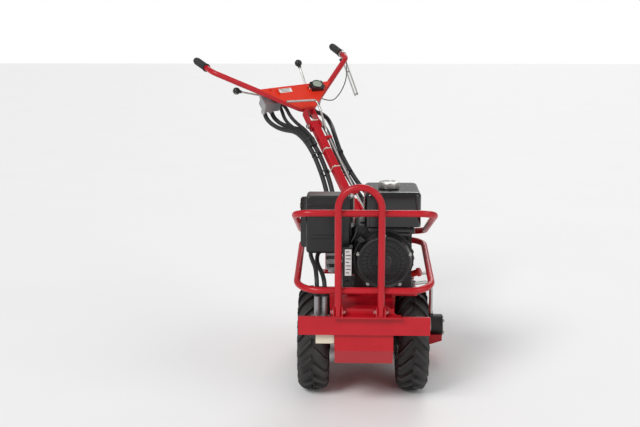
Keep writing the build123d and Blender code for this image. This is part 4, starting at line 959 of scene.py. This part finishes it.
    def shroud_trim(self) -> None:
        """The stepped shroud under the tank and the finned sides of the recoil housing."""
        low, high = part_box("blower_housing")
        middle = (low + high) / 2
        shape = Shape()
        for i in range(self.shroud_rib_count):
            turn = math.radians(-62 + 12.4 * i)
            ray = Vector((math.cos(turn), 0, math.sin(turn)))
            rib = Matrix.Translation(middle + ray * 0.1105) @ Matrix.Rotation(-turn, 4, "Y")
            shape.block(rib, (0.0055, 0.040, 0.0045), 0.0012, 1)
        shape.piece("shroud_ribs", BLACK_PLASTIC, "chassis")
        deck = Shape()
        tank_low, tank_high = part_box("fuel_tank")
        place = Vector(((tank_low.x + tank_high.x) / 2 - 0.006, low.y + 0.030, tank_low.z - 0.010))
        deck.block(place, (tank_high.x - tank_low.x - 0.034, 0.050, 0.018), 0.005, 3)
        deck.block(
            place + Vector((0, -0.012, -0.012)), (tank_high.x - tank_low.x - 0.070, 0.040, 0.014), 0.004, 3,
        )
        deck.piece("tank_shelf", TANK_BLACK, "chassis")

    def side_fittings(self) -> None:
        """Fittings beside the engine: an oil filler and two drain plugs."""
        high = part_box("engine_block")[1]
        filler = Shape()
        foot = Vector((high.x - 0.004, BASE.at(0, -84, 0).y, BASE.at(0, 0, 478).z))
        filler.turned(
            foot, Vector((0.9, -0.3, 0.35)),
            [
                (0, -0.004), (0.012, -0.004), (0.012, 0.018), (0.0165, 0.019), (0.0165, 0.029),
                (0.014, 0.032), (0, 0.032),
            ], 32,
        )
        filler.piece("oil_filler_plug", RED_KNOB, "chassis")
        plug = Shape()
        for y, z in ((-60, 436), (30, 436)):
            plug.bolt(
                Vector((high.x - 0.0005, BASE.at(0, y, 0).y, BASE.at(0, 0, z).z)), RIGHT, 0.016, 0.008,
            )
        plug.piece("drain_plugs", ZINC, "chassis")

    def muffler_guard(self) -> None:
        """The muffler's pressed, slotted guard and its outlet."""
        low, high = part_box("muffler")
        shape = Shape()
        for i in range(6):
            z = low.z + 0.045 + i * 0.016
            shape.block(
                Vector(((low.x + high.x) / 2, high.y - 0.001, z)), (high.x - low.x - 0.045, 0.006, 0.007),
                0.002, 2,
            )
            shape.block(
                Vector((low.x + 0.001, (low.y + high.y) / 2, z)), (0.006, high.y - low.y - 0.040, 0.007),
                0.002, 2,
            )
        shape.piece("muffler_louvres", MUFFLER, "chassis")
        pipe = Shape()
        foot = Vector((low.x + 0.040, high.y - 0.004, low.z + 0.036))
        pipe.turned(
            foot, Vector((-0.2, 1, -0.35)),
            [(0.009, 0), (0.012, 0), (0.012, 0.026), (0.009, 0.026), (0.009, 0)], 28,
        )
        pipe.piece("muffler_outlet", MUFFLER, "chassis")


@dataclass
class Guards:
    """Bolts, weld beads and tags on the guards, the hoop and the front bar."""

    def build(self) -> None:
        """Makes the fastenings and welds."""
        self.bumper_bolts()
        self.welds()
        self.tags()

    def bumper_bolts(self) -> None:
        """Bolts through the hoop's ears and the front bar."""
        shape = Shape()
        for x in (-92, 58):
            for dx in (-1, 1):
                shape.bolt(BASE.at(x + dx * 17.6, -352, 408), Vector((dx, 0, 0)), 0.012, 0.006)
        shape.piece("hoop_bolt_heads", ZINC, "chassis")

    def weld(self, shape: Shape, place: Vector, axis: Vector, radius: float, bead: float = 0.0028) -> None:
        """A rippled ring of weld round a tube's end."""
        side = axis.orthogonal().normalized()
        steps = 22
        for i in range(steps):
            ray = Matrix.Rotation(math.tau * i / steps, 3, axis) @ side
            spot = place + ray * radius
            bmesh.ops.create_icosphere(
                shape.mesh, subdivisions=1, radius=bead, matrix=Matrix.Translation(spot),
            )

    def welds(self) -> None:
        """Weld beads where the tubes of the guards meet their plates."""
        shape = Shape()
        for x in (-92, 58):
            self.weld(shape, BASE.at(x, -352.3, 393), UP, 0.0125)
        for x in (-137.8, 137.8):
            self.weld(shape, BASE.at(x, 182, 414), UP, 0.0115)
        shape.piece("weld_beads", RED, "chassis")

    def tags(self) -> None:
        """A plain cream tag on the chassis behind the front bar."""
        shape = Shape()
        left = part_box("chassis_frame")[0].x
        spot = Matrix.Translation(Vector((left - 0.034, BASE.at(0, -322, 0).y, BASE.at(0, 0, 300).z)))
        shape.block(spot @ Matrix.Rotation(math.pi / 2, 4, "X"), (0.066, 0.036, 0.002), 0.0006, 1)
        shape.piece("chassis_tag", CREAM, "chassis")


@dataclass
class Column:
    """The neck, the hoses that run down it and their ties."""

    hose_radius: float = 0.010
    drain_radius: float = 0.008
    rear: float = 144.35
    low: float = -66.0
    deck: float = 413.2

    def routes(self) -> dict[str, tuple[list[Vector], list[Vector]]]:
        """Each hose's upper and lower route: from its valve to a tie on the neck, and on to the deck."""
        h, n, b = HANDLE.at, NECK.at, BASE.at
        rear, low, deck = self.rear, self.low, self.deck
        return {
            "hose_left_feed": (
                [h(-112, rear - 30, low - 0.2), h(-112, rear - 30, low - 52), h(-78, rear - 112, low - 56),
                 n(-38, 12, 530), n(-31, 18, 400)],
                [
                    n(-31, 18, 400), n(-34, 16, 290), b(-112, 402, 640), b(-92, 338, 552), b(-64, 290, 486),
                    b(-64, 290, deck),
                ],
            ),
            "hose_left_return": (
                [h(-146, rear - 30, low - 0.2), h(-146, rear - 30, low - 58), h(-106, rear - 122, low - 62),
                 n(-61, 18, 530), n(-53, 26, 400)],
                [
                    n(-53, 26, 400), n(-57, 24, 290), b(-137, 402, 640), b(-118, 322, 548),
                    b(-90, 262, 486), b(-90, 262, deck),
                ],
            ),
            "hose_right_feed": (
                [h(62, rear - 30, low - 0.2), h(62, rear - 30, low - 56), h(110, rear - 100, low - 66),
                 n(62, 24, 525), n(52, 28, 400)],
                [n(52, 28, 400), n(52, 28, 270), b(0, 456, 664), b(66, 430, 580), b(92, 352, 512),
                 b(60, 296, 480), b(60, 296, deck)],
            ),
            "hose_right_return": (
                [h(94, rear - 30, low - 0.2), h(94, rear - 30, low - 60), h(152, rear - 76, low - 58),
                 h(158, rear - 142, low - 68), n(87, 26, 510), n(76, 30, 400)],
                [n(76, 30, 400), n(76, 30, 270), b(34, 456, 672), b(98, 430, 590), b(122, 346, 516),
                 b(88, 268, 484), b(88, 268, deck)],
            ),
        }

    def build(self) -> None:
        """Makes the hoses, their ferrules and their ties."""
        for name, (upper, lower) in self.routes().items():
            node = "hoses_left" if "left" in name else "hoses_right"
            top, top_line = hose_piece(name + "_upper", upper, self.hose_radius, HOSE)
            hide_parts(node)
            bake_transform(top)
            declare_hose(top_line)
            foot, foot_line = hose_piece(name + "_lower", lower, self.hose_radius, HOSE)
            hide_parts(node)
            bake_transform(foot)
            declare_hose(foot_line[::-1])
            self.ferrule(
                name + "_valve_end", top_line[0], (top_line[1] - top_line[0]).normalized(), "handle",
            )
            self.ferrule(name + "_deck_end", foot_line[-1], UP, "chassis")
        self.drain_hoses()
        self.ties()

    def drain_hoses(self) -> None:
        """Two slimmer drain hoses from the left valve's side into the bundle."""
        h, n = HANDLE.at, NECK.at
        routes = {
            "hose_drain_upper": [
                h(-89, 96, -34), h(-64, 86, -44), h(-48, 30, -80), n(-40, -2, 500), n(-36, 2, 440),
            ],
            "hose_drain_lower": [
                h(-89, 118, -48), h(-70, 112, -72), h(-66, 38, -110), n(-58, 4, 500), n(-54, 6, 440),
            ],
        }
        for name, route in routes.items():
            made, line = hose_piece(name, route, self.drain_radius, HOSE)
            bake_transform(made)
            declare_hose(line)

    def ferrule(self, name: str, place: Vector, away: Vector, body: str) -> None:
        """A crimped ferrule with its hexagon nut, at one end of a hose."""
        shape = Shape()
        shape.rod(place - away * 0.0002, place + away * 0.012, 0.0125, 6, 0.0012)
        rings = [
            (0.0102, 0.012), (0.0130, 0.012), (0.0136, 0.016), (0.0128, 0.018), (0.0136, 0.020),
            (0.0128, 0.024), (0.0136, 0.026), (0.0128, 0.030), (0.0134, 0.033), (0.0118, 0.038),
            (0.0102, 0.038), (0.0102, 0.012),
        ]
        shape.turned(place, away, rings, 32)
        shape.piece(name, ZINC, body)

    def ties(self) -> None:
        """Straps round the neck tube, and bands round each pair of hoses beside it."""
        strap = Shape()
        bands = Shape()
        for height in (300, 400, 560):
            strap.block(NECK.matrix(0, 0, height), (0.0375, 0.0375, 0.005), 0.0012, 1)
            strap.block(NECK.matrix(-6, -19.5, height), (0.008, 0.005, 0.008), 0.001, 1)
        for height, x, y in (
            (400, -42, 22), (300, -45.5, 20), (480, -45, 18), (400, 64, 29), (290, 64, 29),
        ):
            ring = [
                (0.0215, -0.004), (0.0228, -0.004), (0.0232, 0), (0.0228, 0.004), (0.0215, 0.004),
                (0.0215, -0.004),
            ]
            bands.turned(NECK.at(x, y, height), NECK.z, ring, 36)
        strap.piece("neck_straps", TIE, "column")
        bands.piece("hose_bands", HOSE, "column")


@dataclass
class Handle:
    """The trim of the handlebar: grips, gauge, labels, spring and lever screws."""

    grip_radius: float = 0.018
    groove: float = 0.0026
    knob_radius: float = 0.0168

    def build(self) -> None:
        """Makes each group of trim."""
        self.grips()
        self.gauge()
        self.labels()
        self.spring()
        self.screws()
        self.knobs()

    def grips(self) -> None:
        """Ribbed rubber grips with flanged ends."""
        for side in (-1, 1):
            tip = HANDLE.at(side * 352, 307.35 + 169.92, -69.34)
            bend = HANDLE.at(side * 338, 307.35, 0)
            axis = (tip - bend).normalized()
            start = tip - axis * 0.118
            profile = [(0.0127, 0.0)]
            profile += [
                (self.grip_radius + 0.001, 0.0), (self.grip_radius + 0.001, 0.004),
                (self.grip_radius - self.groove, 0.007),
            ]
            ribs = 9
            for i in range(ribs):
                base = 0.010 + i * 0.0105
                profile += [
                    (self.grip_radius - self.groove, base), (self.grip_radius - 0.0006, base + 0.0022),
                    (self.grip_radius - 0.0006, base + 0.0066),
                    (self.grip_radius - self.groove, base + 0.0088),
                ]
            profile += [
                (self.grip_radius - 0.0022, 0.108), (self.grip_radius - 0.0032, 0.114), (0.010, 0.1185),
                (0, 0.1190),
            ]
            shape = Shape()
            shape.turned(start, axis, profile + [(0, 0.1165), (0.0127, 0.112), (0.0127, 0.0)], 40)
            made = shape.piece("grip_left" if side < 0 else "grip_right", GRIP, "handle")
            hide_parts("grips")

    def gauge(self) -> None:
        """The hour meter's bezel and lens."""
        low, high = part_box("hour_meter")
        middle = (low + high) / 2
        x, y, _ = self.local(middle)
        heights = [self.local(vert.co)[2] for vert in frame["nodes"]["hour_meter"].data.vertices]
        face = HANDLE.at(x, y, max(heights))
        shape = Shape()
        shape.turned(
            face, HANDLE.z,
            [
                (0.0215, -0.002), (0.0245, -0.002), (0.0245, 0.002), (0.023, 0.0034), (0.0215, 0.002),
                (0.0215, -0.002),
            ],
            48,
        )
        shape.piece("gauge_bezel", BLACK_PLASTIC, "handle")
        lens = Shape()
        lens.turned(
            face, HANDLE.z, [(0, 0.0018), (0.012, 0.0014), (0.0214, 0.0004), (0.0214, -0.001), (0, -0.001)],
            48,
        )
        lens.piece("gauge_lens", LENS, "handle")

    def local(self, point: Vector) -> tuple[float, float, float]:
        """A row-frame point in the handle's millimetres."""
        away = (Vector(point) - HANDLE.origin) / MM
        return away.dot(HANDLE.x), away.dot(HANDLE.y), away.dot(HANDLE.z)

    def labels(self) -> None:
        """A plain white label on the panel, with its printed bars."""
        shape = Shape()
        shape.block(HANDLE.matrix(-62, 118, 16.0), (0.064, 0.026, 0.0012), 0.0004, 1)
        shape.piece("panel_label", LABEL, "handle")
        marks = Shape()
        for i, width in enumerate((0.050, 0.040, 0.046)):
            marks.block(HANDLE.matrix(-62, 126 - 8 * i, 16.8), (width, 0.0026, 0.0005))
        marks.piece("panel_label_marks", BLACK_PLASTIC, "handle")
        dots = Shape()
        dots.block(HANDLE.matrix(70, 118, 16.0), (0.030, 0.020, 0.0012), 0.0004, 1)
        dots.piece("panel_label_small", LABEL, "handle")

    def spring(self) -> None:
        """The return spring of the operator-presence lever."""
        pivot = joint_place("presence_lever_squeeze")
        axis = joint_axis("presence_lever_squeeze")
        shape = Shape()
        shape.spring(pivot - axis * 0.018, pivot - axis * 0.004, 0.0085, 0.0016, 6)
        shape.piece("presence_spring", IRON, "handle")

    def screws(self) -> None:
        """Bolts through the panel into the valves and the bar."""
        shape = Shape()
        for x, y in ((50, 120.3), (56, 98.3), (-98, 122.3), (-98, 104.3), (0, 40), (104, 134), (-128, 134)):
            shape.bolt(HANDLE.at(x, y, 15.7), HANDLE.z, 0.010, 0.005)
        shape.piece("panel_bolts", PANEL_RED, "handle")
        fork = Shape()
        pivot, axis = joint_place("handle_tilt"), joint_axis("handle_tilt")
        for side in (-1, 1):
            fork.bolt(pivot + axis * side * 0.0305, axis * side, 0.016, 0.008)
        fork.piece("fork_bolt_heads", ZINC, "handle")

    def knobs(self) -> None:
        """Moulded ball knobs on the control levers, with their collars."""
        for node, body in (("drive_lever", "drive_control"), ("tine_lever", "tine_control")):
            vertices = [vert.co for vert in frame["nodes"][node].data.vertices]
            pivot = joint_place("drive_lever_rock" if body == "drive_control" else "tine_lever_swing")
            far = max(vertices, key=lambda point: (point - pivot).length)
            ray = (far - pivot).normalized()
            ball = far - ray * 0.016
            shape = Shape()
            outline = [(0, self.knob_radius)]
            for i in range(1, 12):
                turn = math.pi * i / 13
                outline.append((self.knob_radius * math.sin(turn), self.knob_radius * math.cos(turn)))
            outline += [(0.0075, -0.0175), (0.0070, -0.0235), (0, -0.0235)]
            shape.turned(ball, ray, outline, 36)
            shape.piece(node + "_knob", BLACK_PLASTIC, body)


@dataclass
class Rear:
    """The tine motor's bolts and its band."""

    def build(self) -> None:
        """Makes the bolts and the band."""
        shape = Shape()
        low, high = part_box("tine_motor")
        for turn in range(4):
            angle = math.tau * (turn + 0.5) / 4
            ray = Vector((0, math.cos(angle), math.sin(angle))) * 0.036
            centre = Vector((high.x, (low.y + high.y) / 2, joint_place("tine_spin").z))
            shape.bolt(centre + ray, RIGHT, 0.012, 0.006)
        shape.piece("tine_motor_bolts", ZINC, "chassis")
        band = Shape()
        centre = Vector((low.x + 0.030, joint_place("tine_spin").y, joint_place("tine_spin").z))
        band.turned(
            centre, RIGHT, [(0.0455, 0), (0.0475, 0), (0.0475, 0.007), (0.0455, 0.007), (0.0455, 0)], 56,
        )
        band.piece("tine_motor_band", ZINC, "chassis")


# ------------------------------------------------------------------ studio
@dataclass
class Studio:
    """The pale floor, the soft lights and the camera."""

    eye: tuple[float, float, float] = (-54, -3641, 1400)
    pitch: float = 11.05
    yaw: float = 1.75
    lens: float = 55.06
    sensor: float = 36
    world_strength: float = 0.34

    def build(self) -> None:
        """Makes the floor, the world, the lights and the camera."""
        self.floor()
        self.lights()
        self.camera()

    def floor(self) -> None:
        """A pale floor that runs far behind the machine."""
        shader = Shader("studio_floor")
        place = shader.node("ShaderNodeTexCoord", out="Object")
        tone = shader.ramp(shader.noise(place, 1.5), 0.2, 0.9)
        colour = shader.blend(tone, (0.93, 0.93, 0.93), (0.95, 0.95, 0.95))
        body = shader.node(
            "ShaderNodeBsdfPrincipled", {},
            {"Base Color": colour, "Roughness": 0.7, "Specular IOR Level": 0.2},
        )
        shader.node("ShaderNodeOutputMaterial", {}, {"Surface": body})
        mesh = bmesh.new()
        bmesh.ops.create_grid(mesh, x_segments=1, y_segments=1, size=30)
        data = bpy.data.meshes.new("floor")
        mesh.to_mesh(data)
        mesh.free()
        made = bpy.data.objects.new("floor", data)
        made.location.z = -0.0005
        data.materials.append(shader.material)
        bpy.context.scene.collection.objects.link(made)

    def lights(self) -> None:
        """An even world and three broad, soft suns."""
        world = bpy.data.worlds.new("studio")
        world.use_nodes = True
        back = world.node_tree.nodes["Background"]
        back.inputs["Color"].default_value = (1, 1, 1, 1)
        back.inputs["Strength"].default_value = self.world_strength
        seen = world.node_tree.nodes.new("ShaderNodeBackground")
        seen.inputs["Color"].default_value = (1, 1, 1, 1)
        choice = world.node_tree.nodes.new("ShaderNodeMixShader")
        rays = world.node_tree.nodes.new("ShaderNodeLightPath")
        link = world.node_tree.links.new
        link(rays.outputs["Is Camera Ray"], choice.inputs[0])
        link(back.outputs[0], choice.inputs[1])
        link(seen.outputs[0], choice.inputs[2])
        link(choice.outputs[0], world.node_tree.nodes["World Output"].inputs["Surface"])
        bpy.context.scene.world = world
        bpy.context.scene.view_settings.view_transform = "Standard"
        target = BASE.at(-60, 100, 700)
        for name, place, spread, power in (
            ("key", (-1800, -2400, 3200), 22, 1.85),
            ("fill", (2600, -1500, 2400), 40, 0.7),
            ("back", (500, 3000, 2600), 30, 0.7),
        ):
            data = bpy.data.lights.new(name, "SUN")
            data.energy = power
            data.angle = math.radians(spread)
            made = bpy.data.objects.new(name, data)
            made.location = BASE.at(*place)
            made.rotation_euler = (target - made.location).to_track_quat("-Z", "Y").to_euler()
            bpy.context.scene.collection.objects.link(made)

    def camera(self) -> None:
        """The camera, in front of the machine at eye height."""
        data = bpy.data.cameras.new("camera")
        data.lens = self.lens
        data.sensor_width = self.sensor
        data.clip_end = 100
        made = bpy.data.objects.new("camera", data)
        made.location = BASE.at(*self.eye)
        made.rotation_euler = (math.radians(90 - self.pitch), 0, math.radians(self.yaw))
        bpy.context.scene.collection.objects.link(made)
        bpy.context.scene.camera = made


def main() -> None:
    """Builds the sub-assemblies in order."""
    logging.basicConfig(level=logging.INFO, format="%(message)s")
    Studio().build()
    dress_nodes()
    for assembly in (Wheel("left"), Wheel("right"), Engine(), Guards(), Column(), Handle(), Rear()):
        assembly.build()


if __name__ == "__main__":
    main()
